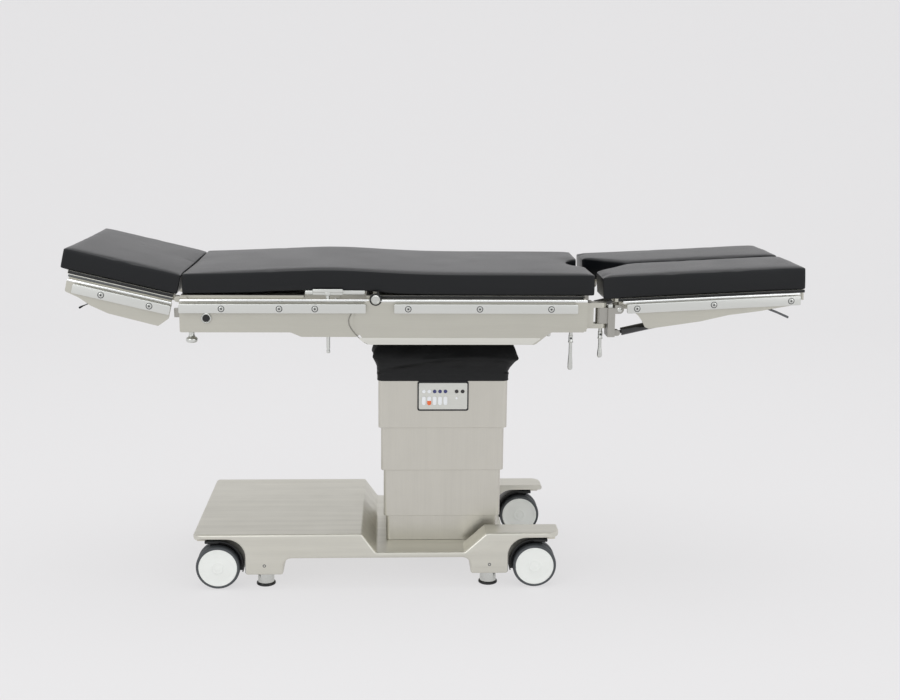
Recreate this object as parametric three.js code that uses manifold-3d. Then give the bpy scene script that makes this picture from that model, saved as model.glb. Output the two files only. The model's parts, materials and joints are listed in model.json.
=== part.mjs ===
// Electro-hydraulic operating table, in millimetres.
// +X runs to the leg end, -Y is the side with the control panel, +Z is up.
// All places are given from the middle of the column on the floor; the finished
// group is then shifted so that its origin is the middle of the whole footprint.

import * as THREE from 'three';
import { mergeVertices } from 'three/addons/utils/BufferGeometryUtils.js';
import Module from 'manifold-3d';

const wasm = await Module();
wasm.setup();

// General fits
const seatGap = 0.3;
const lap = 1;
const overrun = 20;
const weldDistance = 0.0005;
const quarterTurn = Math.PI / 2;
const straightShare = 0.999;
const roundSides = 16;
const wheelSides = 16;
const cornerSteps = 2;
const smallSides = 10;
const tableSides = [['near', -1], ['far', 1]];

// Base cover and frame
const baseHalfWidth = 270;
const baseHeadEnd = -703;
const baseLegEnd = 332;
const deckHeight = 165;
const deckSlopeRun = 40;
const lowDeckHeight = 110;
const armSlopeStart = 61;
const armSlopeRun = 61;
const armWidth = 80;
const armInnerHalf = baseHalfWidth - armWidth;
const lipThickness = 15;
const skirtHeight = 94;
const footBlockHeight = 46;
const footBlockLength = 107;
const headBlockStart = -558;
const legBlockEnd = 186;
const footBlockWidth = 118;
const footBlockInnerHalf = baseHalfWidth - footBlockWidth;
const skirtCornerRadius = 26;
const blockCornerRadius = 8;
const coverWall = 2.5;
const coverEdgeRadius = 5;
const lipRadius = 6.2;
const archSteps = 4;
const planCornerRadius = 24;
const pocketHeadEdge = -545;
const pocketSideWall = 45;
const pocketHalfWidth = baseHalfWidth - pocketSideWall;
const pocketFloor = 8;

// Power unit in the base
const tankLength = 120;
const tankHalfWidth = 90;
const tankHeadRoom = 21;
const tankHeight = deckHeight - skirtHeight - tankHeadRoom;
const motorHeadRoom = 23;
const motorRadius = (deckHeight - skirtHeight - motorHeadRoom) / 2;
const motorLength = 150;
const batteryLength = 110;
const batterySideRoom = 75;
const batteryHalfWidth = pocketHalfWidth - batterySideRoom;
const batteryHeadRoom = 25;
const batteryHeight = deckHeight - skirtHeight - batteryHeadRoom;
const unitMargin = 14;
const trayThickness = 3;

// Castors
const wheelFloorGap = 1;
const wheelHeadRoom = 24;
const wheelRadius = (deckHeight - lipThickness - wheelHeadRoom - wheelFloorGap) / 2;
const wheelWidth = 64;
const wheelSetBack = 10;
const wheelFace = baseHalfWidth - wheelSetBack;
const castorTrail = 17;
const tyreDepth = 8.5;
const wheelDiscRadius = wheelRadius - tyreDepth;
const wheelDiscDepth = 3;
const wheelHubRadius = 17;
const tyreEdgeRadius = 7;
const axleRadius = 8;
const forkThickness = 8;
const hoodStand = 9.5;
const hoodRadius = wheelRadius + hoodStand;
const archRoom = 10;
const archRadius = hoodRadius + archRoom;
const headHoodRoom = 6;
const headWheelX = headBlockStart - hoodRadius - headHoodRoom;
const legHoodRoom = 5;
const legWheelX = legBlockEnd + hoodRadius + legHoodRoom;
const crownThickness = 10;
const crownHalfLength = 24;
const crownHalfWidth = 24;
const hoodGap = 4;
const collarRadius = 15;
const stemRadius = 10;
const stemLength = 8;
const stemHoleRoom = 1.5;

// Brake feet
const footSetBack = 55;
const footY = baseHalfWidth - footSetBack;
const footRadius = 23.5;
const footPadRadius = 27.5;
const footPadHeight = 8;
const footPadEdge = 2.5;
const footLength = 84;
const footTravel = 20;

// Telescoping column
const columnSideRoom = 29;
const footCoverHalf = armInnerHalf - columnSideRoom;
const lowerCoverStep = 7;
const lowerCoverHalf = footCoverHalf + lowerCoverStep;
const outerCoverStep = 7.5;
const middleCoverHalf = lowerCoverHalf + outerCoverStep;
const upperCoverHalf = middleCoverHalf + outerCoverStep;
const deckSetBack = 28.5;
const deckLegEdge = -footCoverHalf - deckSetBack - deckSlopeRun;
const pocketLegWall = 20.5;
const pocketLegEdge = deckLegEdge - pocketLegWall;
const columnWall = 2;
const columnCornerRadius = 12;
const guideLipHeight = 12;
const lowerCoverRise = 75.4;
const lowerCoverBottom = lowDeckHeight + lowerCoverRise;
const middleCoverRise = 139.2;
const middleCoverBottom = lowerCoverBottom + middleCoverRise;
const upperCoverRise = 127;
const upperCoverBottom = middleCoverBottom + upperCoverRise;
const coverOverlap = 76;
const upperCoverHeight = 158.4;
const columnTop = upperCoverBottom + upperCoverHeight;
const cylinderRadius = 58;
const cylinderBore = 45;
const cylinderRise = 1.5;
const cylinderBottom = skirtHeight + cylinderRise;
const cylinderLength = 336.5;
const cylinderTop = cylinderBottom + cylinderLength;
const cylinderFloor = 8;
const cylinderFlangeRadius = 100;
const cylinderFlangeThickness = 14;
const ramFloorRoom = 162.5;
const ramBottom = cylinderBottom + ramFloorRoom;
const headPlateThickness = 12;

// Control panel on the upper cover
const panelHalfWidth = 72.5;
const bootBandHeight = 22;
const panelTop = columnTop - bootBandHeight + seatGap;
const panelHeight = 86;
const panelThickness = 5;
const panelCornerRadius = 5;
const facePlateMargin = 3.8;
const facePlateStand = 1;
const keyPitch = 15.3;
const firstKeyX = -54.5;
const keyColumns = 5;
const keyRadius = 5;
const keyRowDrop = 29;
const keyStand = 0.8;
const pillHalfWidth = 5.5;
const pillHalfHeight = 11.5;
const pillRowDrop = 55.5;
const lockKeyX = 38.3;
const lockKeyPitch = 17;

// Cloth boot between the column and the table top
const bootWall = 3;
const bootBulge = 21;
const bootRiseShares = [0, 0.14, 0.28, 0.4, 0.56, 0.78, 1];
const bootSpreadShares = [0, 0.4, 0.95, 1, 0.6, -0.1, -1.05];

// Tilting head
const tiltRise = 65;
const tiltHeight = columnTop + tiltRise;
const crossHalf = 65;
const crossHalfHeight = 19;
const tiltShaftRadius = 12;
const earRadius = 20;
const earInner = 70;
const earThickness = 22;
const shaftEndGap = 2;
const carriageRise = 72;
const carriagePlateThickness = 8;
const carriageInset = 17;
const carriageHalf = upperCoverHalf - carriageInset;
const beamY = 100;
const beamWidth = 30;
const beamLength = 380;
const slideRise = 125;
const slidePlane = tiltHeight + slideRise;

// Table top levels and widths
const boardRise = 44;
const boardTop = slidePlane + boardRise;
const boardThickness = 9;
const boardHalf = 262;
const plateDrop = 10;
const plateTop = boardTop - plateDrop;
const plateThickness = 4;
const plateStand = 21;
const plateFace = boardHalf + plateStand;
const backPlateStand = 16.5;
const backPlateFace = boardHalf + backPlateStand;
const cushionStand = 3;
const cushionHalf = boardHalf + cushionStand;
const cushionThickness = 56.7;
const runnerWidth = 20;
const plateCornerRadius = 10;

// Accessory rails
const railThickness = 10;
const railHeight = 25;
const railStand = 17;
const railFace = plateFace + railStand;
const railDrop = 21;
const railCentre = plateTop - railDrop;
const railCornerRadius = 3;
const spacerRadius = 7;

// Seat section
const seatPlateEnd = 389.5;
const seatHeadEdge = -263;
const seatPlateDepth = 122;
const seatPlateBottom = plateTop - seatPlateDepth;
const seatStepRise = 34.5;
const seatStepHeight = seatPlateBottom + seatStepRise;
const seatStepSetBack = 99.5;
const seatStepEnd = seatPlateEnd - seatStepSetBack;
const seatStepRun = 43;
const seatStepStart = seatStepEnd - seatStepRun;
const seatHeadCurve = 50;
const seatBoardStart = -181;
const seatBoardSetBack = 5.5;
const seatBoardEnd = seatPlateEnd - seatBoardSetBack;
const endPlateThickness = 5;
const seatRailStart = -139;
const seatRailSetBack = 28;
const seatRailEnd = seatPlateEnd - seatRailSetBack;
const seatScrewShares = [0.0767, 0.4644, 0.853];
const notchHalfWidth = 88;
const notchDepth = 43;
const notchBoardMargin = 4;
const notchCornerRadius = 14;
const notchRunShare = 0.75;
const notchWidthShare = 0.55;

// Back hinge
const backHingeX = -188.7;
const backHingeDrop = 7.5;
const backHingeZ = boardTop - backHingeDrop;
const hingeLugRadius = 14;
const hingePinRadius = 8;
const hingeCapRadius = 13;
const hingeCapThickness = 6;

// Back section
const backHeadEdge = -718;
const backPlateDepth = 89;
const backPlateBottom = plateTop - backPlateDepth;
const backDeepDepth = 101.5;
const backDeepBottom = plateTop - backDeepDepth;
const backStepStart = -420;
const backStepEnd = -390;
const backDeepSetBack = 47.3;
const backDeepEnd = backHingeX - backDeepSetBack;
const backNeckSetBack = 17.3;
const backNeck = backHingeX - backNeckSetBack;
const backNeckDepth = 44;
const backNeckHeight = plateTop - backNeckDepth;
const backRailInset = 1;
const backRailStart = backHeadEdge + backRailInset;
const backRailSetBack = 26.3;
const backRailEnd = backHingeX - backRailSetBack;
const backScrewShares = [0.2277, 0.5361, 0.7269];
const bridgeRoom = 3;
const backBoardSetBack = 8.3;
const backBoardEnd = backHingeX - backBoardSetBack;
const socketInset = 72.2;
const socketX = backHeadEdge + socketInset;
const socketDrop = 50;
const socketZ = plateTop - socketDrop;
const socketRingRadius = 13.5;
const socketHoleRadius = 10;
const socketDepth = 4;

// Kidney bridge
const bridgeSetBack = 28.3;
const bridgeEnd = backHingeX - bridgeSetBack;
const bridgeLength = 164;
const bridgeStart = bridgeEnd - bridgeLength;
const bridgeRise = 0.5;
const bridgeBottom = boardTop + bridgeRise;
const bridgeThickness = 13.5;
const bridgeRodSetBack = 101.5;
const bridgeRodX = bridgeEnd - bridgeRodSetBack;
const bridgeRodStand = 6.4;
const bridgeRodY = boardHalf + bridgeRodStand;
const bridgeRodRadius = 5;
const bridgeRodLength = 158.5;
const bridgeRodBottom = bridgeBottom - bridgeRodLength;
const bridgeBarHalf = 41;
const bridgeBarHeight = 18.5;
const bridgeBarTop = bridgeBottom + bridgeBarHeight;
const bridgeBarStand = 4.6;
const bridgeBarInner = boardHalf + bridgeBarStand;
const bridgeBarWidth = 7.4;
const bridgeBarOuter = bridgeBarInner + bridgeBarWidth;
const guideHalfLength = 12;
const guideHeight = 14;
const guideStand = 0.4;
const guideInner = boardHalf + guideStand;
const lowGuideDrop = 66;
const lowGuideTop = plateTop - lowGuideDrop;
const highGuideDrop = 14;
const highGuideTop = plateTop - highGuideDrop;

// Head section, given from its hinge, along its own slope
const headHingeOut = 6.8;
const headHingeX = backHeadEdge - headHingeOut;
const headHingeDrop = 10;
const headHingeZ = boardTop - headHingeDrop;
const headSlopeDegrees = 13.2;
const headBoardStart = 5;
const headBoardEnd = 298;
const headPlateEnd = 292;
const headPlateTop = -11;
const headPlateLow = -80.5;
const headPlateOuterLow = -44.4;
const headPlateRunShares = [0.87, 0.75, 0.58, 0.11];
const headPlateDropShares = [0.65, 0.83, 0.96, 1];
const headPlateHingeShare = 0.67;
const headRailStart = 8;
const headRailEnd = 272;
const headRailCentre = -29.5;
const headScrewShares = [0.2955, 0.7879];
const headPadStart = 4;
const headPadEnd = 316;
const headPadSoftEnd = 42;
const headPadThickness = 54.5;
const headLugInset = 12;
const headLugY = boardHalf - headLugInset;
const backLugInset = 3;
const backLugY = boardHalf - backLugInset;
const headLugThickness = 8;
const headLugRadius = 8;
const headPinRadius = 4.5;
const headLeverPivot = 218;
const headLeverPivotDrop = -58;
const headLeverTip = 250;
const headLeverTipDrop = -84;
const headLeverY = boardHalf;
const headLeverWidth = 14;
const leverBladeThickness = 5;
const leverPinRadius = 3;
const leverEyeRadius = 6;

// Head clamp knob under the back section
const knobInset = 26;
const knobX = backHeadEdge + knobInset;
const knobSideInset = 22;
const knobY = boardHalf - knobSideInset;
const knobRadius = 16;
const knobDrop = 21;
const knobTop = backPlateBottom - knobDrop;
const knobHeight = 13;
const knobNeckRadius = 7.5;
const knobStemRadius = 5;
const knobStemLength = 20;
const knobBlockHalf = 18;
const knobBlockHeight = 40;

// Leg sections, given from their hinge, along their own slope
const legHingeX = 479.6;
const legHingeDrop = 36;
const legHingeZ = boardTop - legHingeDrop;
const legSlopeDegrees = 3;
const legBoardStart = -14;
const legBoardEnd = 517;
const legBoardBottom = 20;
const legInnerY = 12;
const legChamferLength = 108;
const legChamferWidth = 130;
const legPlateTop = 22;
const legPlateStart = 4;
const legPlateEnd = 498;
const legPlateLow = -55;
const legPlateRunShares = [0.098, 0.116, 0.133, 0.155, 0.442, 0.598, 0.771, 1];
const legPlateDropShares = [0.31, 0.56, 0.91, 1, 0.76, 0.51, 0.39, 0.13];
const legPadStart = -40;
const legPadEnd = 521;
const legPadThickness = 60;
const legRailStart = 16;
const legRailEnd = 494;
const legRailCentre = 5;
const legScrewShares = [0.0565, 0.4979, 0.9435];
const legEndThickness = 4;
const legLeverPivot = 402;
const legLeverPivotDrop = -16;
const legLeverBend = 445;
const legLeverBendDrop = -35;
const legLeverTip = 477;
const legLeverTipDrop = -51;
const legLeverInset = 24;
const legLeverY = boardHalf - legLeverInset;
const legLeverWidth = 12;

// Leg brackets and their clevis on the seat
const splayRun = 41.5;
const splayX = seatPlateEnd + splayRun;
const splayInset = 12;
const splayY = boardHalf - splayInset;
const clevisHalf = 16;
const clevisDrop = 18;
const clevisTop = boardTop - clevisDrop;
const clevisHeight = 71;
const clevisBottom = clevisTop - clevisHeight;
const clevisRootRun = 18.5;
const clevisRoot = seatPlateEnd + clevisRootRun;
const cheekRise = 10.5;
const cheekBottom = seatStepHeight + cheekRise;
const clevisLowEar = 13;
const knuckleBottom = clevisBottom + clevisLowEar;
const clevisHighEar = 14;
const knuckleTop = clevisTop - clevisHighEar;
const splayPinRadius = 6;
const socketBlockInset = 48;
const socketBlockInner = boardHalf - socketBlockInset;
const socketBlockStand = 8;
const socketBlockOuter = boardHalf + socketBlockStand;
const socketBlockLength = 59.5;
const socketBlockStart = seatPlateEnd - socketBlockLength;
const bracketPlateRun = 17;
const bracketPlateStart = splayX + bracketPlateRun;
const bracketPlateThickness = 20;
const bracketPlateEnd = bracketPlateStart + bracketPlateThickness;
const bracketPlateDepth = 77;
const bracketPlateBottom = legHingeZ - bracketPlateDepth;
const bracketPlateRise = 4;
const bracketPlateTop = legHingeZ + bracketPlateRise;
const bracketEarThickness = 9;
const bracketEarRadius = 12;
const legLugRadius = 11;
const legPinRadius = 6;
const legLugLength = 48;

// Gas struts under the legs
const strutInset = 22;
const strutY = boardHalf - strutInset;
const strutPivotDrop = -69;
const strutPivotRun = -1;
const strutSlopeDegrees = 12.7;
const strutLength = 230;
const strutBodyStart = 11;
const strutBodyLength = 128;
const strutBodyRadius = 11;
const strutRodRadius = 4;
const strutRodLength = 112;
const strutEyeRadius = 8;
const strutEyeThickness = 12;
const strutPinRadius = 4;
const strutEarThickness = 5;
const strutLugDrop = -30;
const strutLugHalf = 12;

// Clamp screws under the leg end
const seatScrewSetBack = 40;
const seatScrewX = seatPlateEnd - seatScrewSetBack;
const seatScrewDrop = 12.5;
const seatScrewTop = seatStepHeight - seatScrewDrop;
const seatScrewLength = 99;
const seatScrewBottom = seatScrewTop - seatScrewLength;
const legScrewDrop = 10;
const legScrewTop = clevisBottom - legScrewDrop;
const legScrewLength = 75;
const legScrewBottom = legScrewTop - legScrewLength;
const screwBossRadius = 6;
const screwBossHeight = 22;
const screwStemRadius = 5;
const screwStemLength = 26;
const screwHandleRadius = 6;
const screwWaistRadius = 4.5;
const screwTaper = 4;

// Cushions
const mattressInset = 7;
const mattressHeadEdge = backHeadEdge + mattressInset;
const seatPadOverhang = 22.5;
const seatPadEnd = seatPlateEnd + seatPadOverhang;
const backPadLegEdge = -395;
const seatPadSetBack = 24.7;
const seatPadHeadEdge = backHingeX + seatPadSetBack;
const padEdgeRadius = 9;
const padDrawIn = 3;
const padCrown = 4;
const padCornerRadius = 14;
const padCornerSteps = 2;
const padCrownRingShares = [0.7];
const padEdgeTurnShares = [0, 0.5, 1];
const padBottomRingShare = 0.56;
const padPointPitch = 130;
const riseHeadEnd = -700;
const riseLegEnd = -50;
const padRise = 15;

// Finishes
const steel = new THREE.MeshStandardMaterial({ color: 0xb9b8b1, roughness: 0.38, metalness: 0.9 });
const paleSteel = new THREE.MeshStandardMaterial({ color: 0xcdcfca, roughness: 0.3, metalness: 0.9 });
const darkMetal = new THREE.MeshStandardMaterial({ color: 0x55585a, roughness: 0.5, metalness: 0.8 });
const castIron = new THREE.MeshStandardMaterial({ color: 0x3c3e40, roughness: 0.7, metalness: 0.6 });
const blackLeather = new THREE.MeshStandardMaterial({ color: 0x26282a, roughness: 0.6, metalness: 0 });
const blackCloth = new THREE.MeshStandardMaterial({ color: 0x121314, roughness: 0.8, metalness: 0 });
const blackPlastic = new THREE.MeshStandardMaterial({ color: 0x1b1c1d, roughness: 0.45, metalness: 0 });
const whitePlastic = new THREE.MeshStandardMaterial({ color: 0xe2e5e0, roughness: 0.4, metalness: 0 });

const table = new THREE.Group();

// Turns a geometry into a solid whose faces point outwards.
function solidFrom(geometry) {
  const bare = geometry.clone();
  bare.deleteAttribute('normal');
  bare.deleteAttribute('uv');
  const welded = mergeVertices(bare, weldDistance);
  const points = welded.getAttribute('position').array;
  const faces = [];
  let volume = 0;
  const index = welded.getIndex().array;
  for (let i = 0; i < index.length; i += 3) {
    const [a, b, c] = [index[i], index[i + 1], index[i + 2]];
    if (a === b || b === c || c === a) continue;
    faces.push(a, b, c);
    const corner = [a, b, c].map((n) => new THREE.Vector3().fromArray(points, n * 3));
    volume += corner[0].dot(corner[1].cross(corner[2]));
  }
  if (volume < 0) faces.reverse();
  const mesh = new wasm.Mesh({
    numProp: 3,
    vertProperties: new Float32Array(points),
    triVerts: new Uint32Array(faces),
  });
  mesh.merge();
  return new wasm.Manifold(mesh);
}

function geometryFrom(solid) {
  const { vertProperties, triVerts, numProp } = solid.getMesh();
  const positions = new Float32Array((vertProperties.length / numProp) * 3);
  for (let i = 0; i < positions.length / 3; i += 1) {
    positions.set(vertProperties.subarray(i * numProp, i * numProp + 3), i * 3);
  }
  const geometry = new THREE.BufferGeometry();
  geometry.setAttribute('position', new THREE.BufferAttribute(positions, 3));
  geometry.setIndex(new THREE.BufferAttribute(new Uint32Array(triVerts), 1));
  geometry.computeVertexNormals();
  return geometry;
}

function joined(...solids) {
  return solids.reduce((whole, piece) => whole.add(piece));
}

function cut(solid, ...tools) {
  return tools.reduce((whole, tool) => whole.subtract(tool), solid);
}

function addPiece(name, solid, finish, parent = table) {
  const mesh = new THREE.Mesh(geometryFrom(solid), finish);
  mesh.name = name;
  parent.add(mesh);
  return mesh;
}

function block(xs, ys, zs) {
  const [x, y, z] = [xs, ys, zs].map(([a, b]) => [Math.min(a, b), Math.max(a, b)]);
  const box = new THREE.BoxGeometry(x[1] - x[0], y[1] - y[0], z[1] - z[0]);
  box.translate((x[0] + x[1]) / 2, (y[0] + y[1]) / 2, (z[0] + z[1]) / 2);
  return solidFrom(box);
}

// A round bar along one axis, from one station to the next, through a point of the other two.
function bar(axis, radius, [from, to], [first, second], sides = roundSides) {
  const length = Math.abs(to - from);
  const middle = (from + to) / 2;
  const rod = new THREE.CylinderGeometry(radius, radius, length, sides);
  if (axis === 'x') {
    rod.rotateZ(-quarterTurn);
    rod.translate(middle, first, second);
  } else if (axis === 'y') {
    rod.translate(first, middle, second);
  } else {
    rod.rotateX(quarterTurn);
    rod.translate(first, second, middle);
  }
  return solidFrom(rod);
}

// A turned piece about a vertical axis, from [radius, height] pairs.
function turned(profile, x, y, sides = roundSides) {
  const outline = profile.map(([radius, height]) => new THREE.Vector2(radius, height));
  const lathe = new THREE.LatheGeometry(outline, sides);
  lathe.rotateX(quarterTurn);
  lathe.translate(x, y, 0);
  return solidFrom(lathe);
}

// A polygon whose corners [x, y, radius, steps] are rounded, as a list of points.
function roundedOutline(corners) {
  const outline = [];
  const sideAfter = (n) => {
    const [here, after] = [corners.at(n), corners.at((n + 1) % corners.length)];
    return new THREE.Vector2(after[0] - here[0], after[1] - here[1]);
  };
  const cornerAt = (n) => {
    const [back, on] = [sideAfter(n - 1).negate(), sideAfter(n)];
    const half = Math.acos(THREE.MathUtils.clamp(back.normalize().dot(on.normalize()), -1, 1)) / 2;
    return [half, (corners.at(n)[2] ?? 0) / Math.tan(half)];
  };
  corners.forEach(([x, y, , steps = 1], n) => {
    const here = new THREE.Vector2(x, y);
    const back = sideAfter(n - 1).negate();
    const on = sideAfter(n);
    const [half, wanted] = cornerAt(n);
    // Two fillets that meet on one side share its length in proportion
    const share = (length, otherRun) => length / Math.max(wanted + otherRun, length);
    const previous = cornerAt(n - 1)[1];
    const next = cornerAt((n + 1) % corners.length)[1];
    const run = wanted * Math.min(share(back.length(), previous), share(on.length(), next));
    back.normalize();
    on.normalize();
    if (run <= 0 || half > quarterTurn * straightShare) {
      outline.push(here);
      return;
    }
    const bend = run * Math.tan(half);
    const centre = back.clone().add(on).normalize().multiplyScalar(bend / Math.sin(half)).add(here);
    const start = back.multiplyScalar(run).add(here).sub(centre);
    const end = on.multiplyScalar(run).add(here).sub(centre);
    const sweep = Math.atan2(start.cross(end), start.dot(end));
    for (let s = 0; s <= steps; s += 1) {
      outline.push(start.clone().rotateAround(new THREE.Vector2(), (sweep * s) / steps).add(centre));
    }
  });
  return outline.filter((p, n) => p.distanceTo(outline.at(n - 1)) > weldDistance * 10);
}

// An outline in X and Z, carried from one Y to another, with rounded edges if asked.
function sidePlate(outline, [from, to], edge = 0, edgeSteps = 0) {
  const [low, high] = [Math.min(from, to), Math.max(from, to)];
  const plate = new THREE.ExtrudeGeometry(new THREE.Shape(outline), {
    depth: high - low - 2 * edge,
    bevelEnabled: edge > 0,
    bevelSize: edge,
    bevelThickness: edge,
    bevelOffset: -edge,
    bevelSegments: edgeSteps,
  });
  plate.rotateX(quarterTurn);
  plate.translate(0, high - edge, 0);
  return solidFrom(plate);
}

// An outline in X and Y, carried from one height to another.
function flatPlate(outline, [from, to]) {
  const plate = new THREE.ExtrudeGeometry(new THREE.Shape(outline), {
    depth: to - from,
    bevelEnabled: false,
  });
  plate.translate(0, 0, from);
  return solidFrom(plate);
}

function squareOutline(half, radius, steps = cornerSteps) {
  return roundedOutline([
    [-half, -half, radius, steps],
    [half, -half, radius, steps],
    [half, half, radius, steps],
    [-half, half, radius, steps],
  ]);
}

function squareTube(half, wall, radius, heights) {
  const hole = squareOutline(half - wall, radius - wall);
  const through = [heights[0] - overrun, heights[1] + overrun];
  return cut(flatPlate(squareOutline(half, radius), heights), flatPlate(hole, through));
}

// Base: a steel cover in one sweep over a cast frame

function baseSide(inset) {
  const headBlockEnd = headBlockStart + footBlockLength;
  const legBlockStart = legBlockEnd - footBlockLength;
  const lip = deckHeight - lipThickness + inset;
  const blockBottom = footBlockHeight + inset;
  const skirt = skirtHeight + inset;
  const slopeShift = inset / 2;
  return roundedOutline([
    [baseHeadEnd + inset, deckHeight - inset, lipRadius - inset, cornerSteps],
    [baseHeadEnd + inset, lip, lipRadius - inset, cornerSteps],
    [headBlockStart + inset, lip, archRadius, archSteps],
    [headBlockStart + inset, blockBottom, blockCornerRadius - inset, cornerSteps],
    [headBlockEnd - inset, blockBottom, blockCornerRadius - inset, cornerSteps],
    [headBlockEnd - inset, skirt, skirtCornerRadius + inset, cornerSteps],
    [legBlockStart + inset, skirt, skirtCornerRadius + inset, cornerSteps],
    [legBlockStart + inset, blockBottom, blockCornerRadius - inset, cornerSteps],
    [legBlockEnd - inset, blockBottom, blockCornerRadius - inset, cornerSteps],
    [legBlockEnd - inset, lip, archRadius, archSteps],
    [baseLegEnd - inset, lip, lipRadius - inset, cornerSteps],
    [baseLegEnd - inset, deckHeight - inset, lipRadius - inset, cornerSteps],
    [armSlopeStart + armSlopeRun + slopeShift, deckHeight - inset],
    [armSlopeStart + slopeShift, lowDeckHeight - inset],
    [deckLegEdge + deckSlopeRun - slopeShift, lowDeckHeight - inset],
    [deckLegEdge - slopeShift, deckHeight - inset],
  ]);
}

function basePlan(inset) {
  const half = baseHalfWidth - inset;
  const inner = armInnerHalf + inset;
  const radius = planCornerRadius - inset;
  return roundedOutline([
    [baseHeadEnd + inset, -half, radius, cornerSteps],
    [baseLegEnd - inset, -half, radius, cornerSteps],
    [baseLegEnd - inset, -inner, radius / 2],
    [legBlockEnd - inset, -inner, radius / 2],
    [legBlockEnd - inset, inner, radius / 2],
    [baseLegEnd - inset, inner, radius / 2],
    [baseLegEnd - inset, half, radius, cornerSteps],
    [baseHeadEnd + inset, half, radius, cornerSteps],
  ]);
}

function baseBody(inset) {
  const half = baseHalfWidth - inset;
  const edge = coverEdgeRadius - inset;
  const side = sidePlate(baseSide(inset), [-half, half], edge, 1);
  const plan = flatPlate(basePlan(inset), [footBlockHeight - overrun, deckHeight + overrun]);
  const troughHalf = armInnerHalf + inset;
  const trough = block(
    [armSlopeStart - overrun, baseLegEnd],
    [-troughHalf, troughHalf],
    [lowDeckHeight - inset, deckHeight + overrun],
  );
  const bellyHalf = footBlockInnerHalf + inset;
  const belly = block(
    [headBlockStart - overrun, legBlockEnd + overrun],
    [-bellyHalf, bellyHalf],
    [footBlockHeight - overrun, skirtHeight + inset],
  );
  const headBelly = block(
    [baseHeadEnd - overrun, headBlockStart + inset],
    [-bellyHalf, bellyHalf],
    [footBlockHeight - overrun, skirtHeight + inset],
  );
  return cut(side.intersect(plan), trough, belly, headBelly);
}

const castorPlaces = [
  ['head', headWheelX, headWheelX - castorTrail],
  ['leg', legWheelX, legWheelX + castorTrail],
];
const footPlaces = [
  ['head', headBlockStart + footBlockLength / 2],
  ['leg', legBlockEnd - footBlockLength / 2],
];
const archTop = deckHeight - lipThickness;
const wheelY = wheelFace - wheelWidth / 2;

function baseCover() {
  const open = coverWall + seatGap;
  const half = baseHalfWidth - coverWall;
  let cover = cut(baseBody(0), baseBody(coverWall));
  cover = cut(
    cover,
    block(
      [
        headBlockStart + footBlockLength + skirtCornerRadius,
        legBlockEnd - footBlockLength - skirtCornerRadius,
      ],
      [-half, half],
      [skirtHeight - overrun, skirtHeight + open],
    ),
    bar(
      'z',
      cylinderFlangeRadius + seatGap,
      [lowDeckHeight - overrun, lowDeckHeight + overrun],
      [0, 0],
      roundSides * 2,
    ),
  );
  for (const [, sign] of tableSides) {
    for (const [, x] of footPlaces) {
      const reach = footBlockLength / 2 - coverWall;
      cover = cut(
        cover,
        block(
          [x - reach, x + reach],
          [sign * (footBlockInnerHalf + coverWall), sign * half],
          [footBlockHeight - overrun, footBlockHeight + open],
        ),
      );
    }
    for (const [, , stemX] of castorPlaces) {
      const hole = collarRadius + stemHoleRoom;
      cover = cut(cover, bar('z', hole, [archTop - overrun, archTop + open], [stemX, sign * wheelY]));
    }
  }
  return cover;
}

function baseFrame() {
  const inset = coverWall + seatGap;
  let frame = baseBody(inset);
  frame = cut(
    frame,
    block(
      [pocketHeadEdge, pocketLegEdge],
      [-pocketHalfWidth, pocketHalfWidth],
      [skirtHeight + pocketFloor, deckHeight + overrun],
    ),
    bar('z', cylinderRadius + seatGap, [skirtHeight - overrun, lowDeckHeight + overrun], [0, 0]),
  );
  for (const [, sign] of tableSides) {
    for (const [, x] of footPlaces) {
      const boreTop = footLength + footTravel + seatGap;
      frame = cut(
        frame,
        bar('z', footRadius + seatGap, [footBlockHeight - overrun, boreTop], [x, sign * footY]),
      );
    }
    for (const [, , stemX] of castorPlaces) {
      frame = cut(
        frame,
        bar('z', stemRadius + seatGap, [archTop - overrun, deckHeight + overrun], [stemX, sign * wheelY]),
      );
    }
  }
  return frame;
}

addPiece('base_frame', baseFrame(), castIron);
addPiece('base_cover', baseCover(), steel);

const trayBottom = skirtHeight + pocketFloor + 2 * seatGap;
const tankStart = pocketHeadEdge + unitMargin;
const tankEnd = tankStart + tankLength;
const batteryEnd = pocketLegEdge - unitMargin;
addPiece(
  'power_unit',
  joined(
    block(
      [tankStart, batteryEnd],
      [-batteryHalfWidth, batteryHalfWidth],
      [trayBottom, trayBottom + trayThickness],
    ),
    block([tankStart, tankEnd], [-tankHalfWidth, tankHalfWidth], [trayBottom, trayBottom + tankHeight]),
    bar('y', motorRadius, [0, motorLength], [tankEnd + motorRadius / 2, trayBottom + motorRadius]),
    block(
      [batteryEnd - batteryLength, batteryEnd],
      [-batteryHalfWidth, batteryHalfWidth],
      [trayBottom, trayBottom + batteryHeight],
    ),
  ),
  darkMetal,
);

// Castors: two wheels on one axle, with a swivelling hood plate between them
const wheelZ = wheelRadius + wheelFloorGap;

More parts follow.
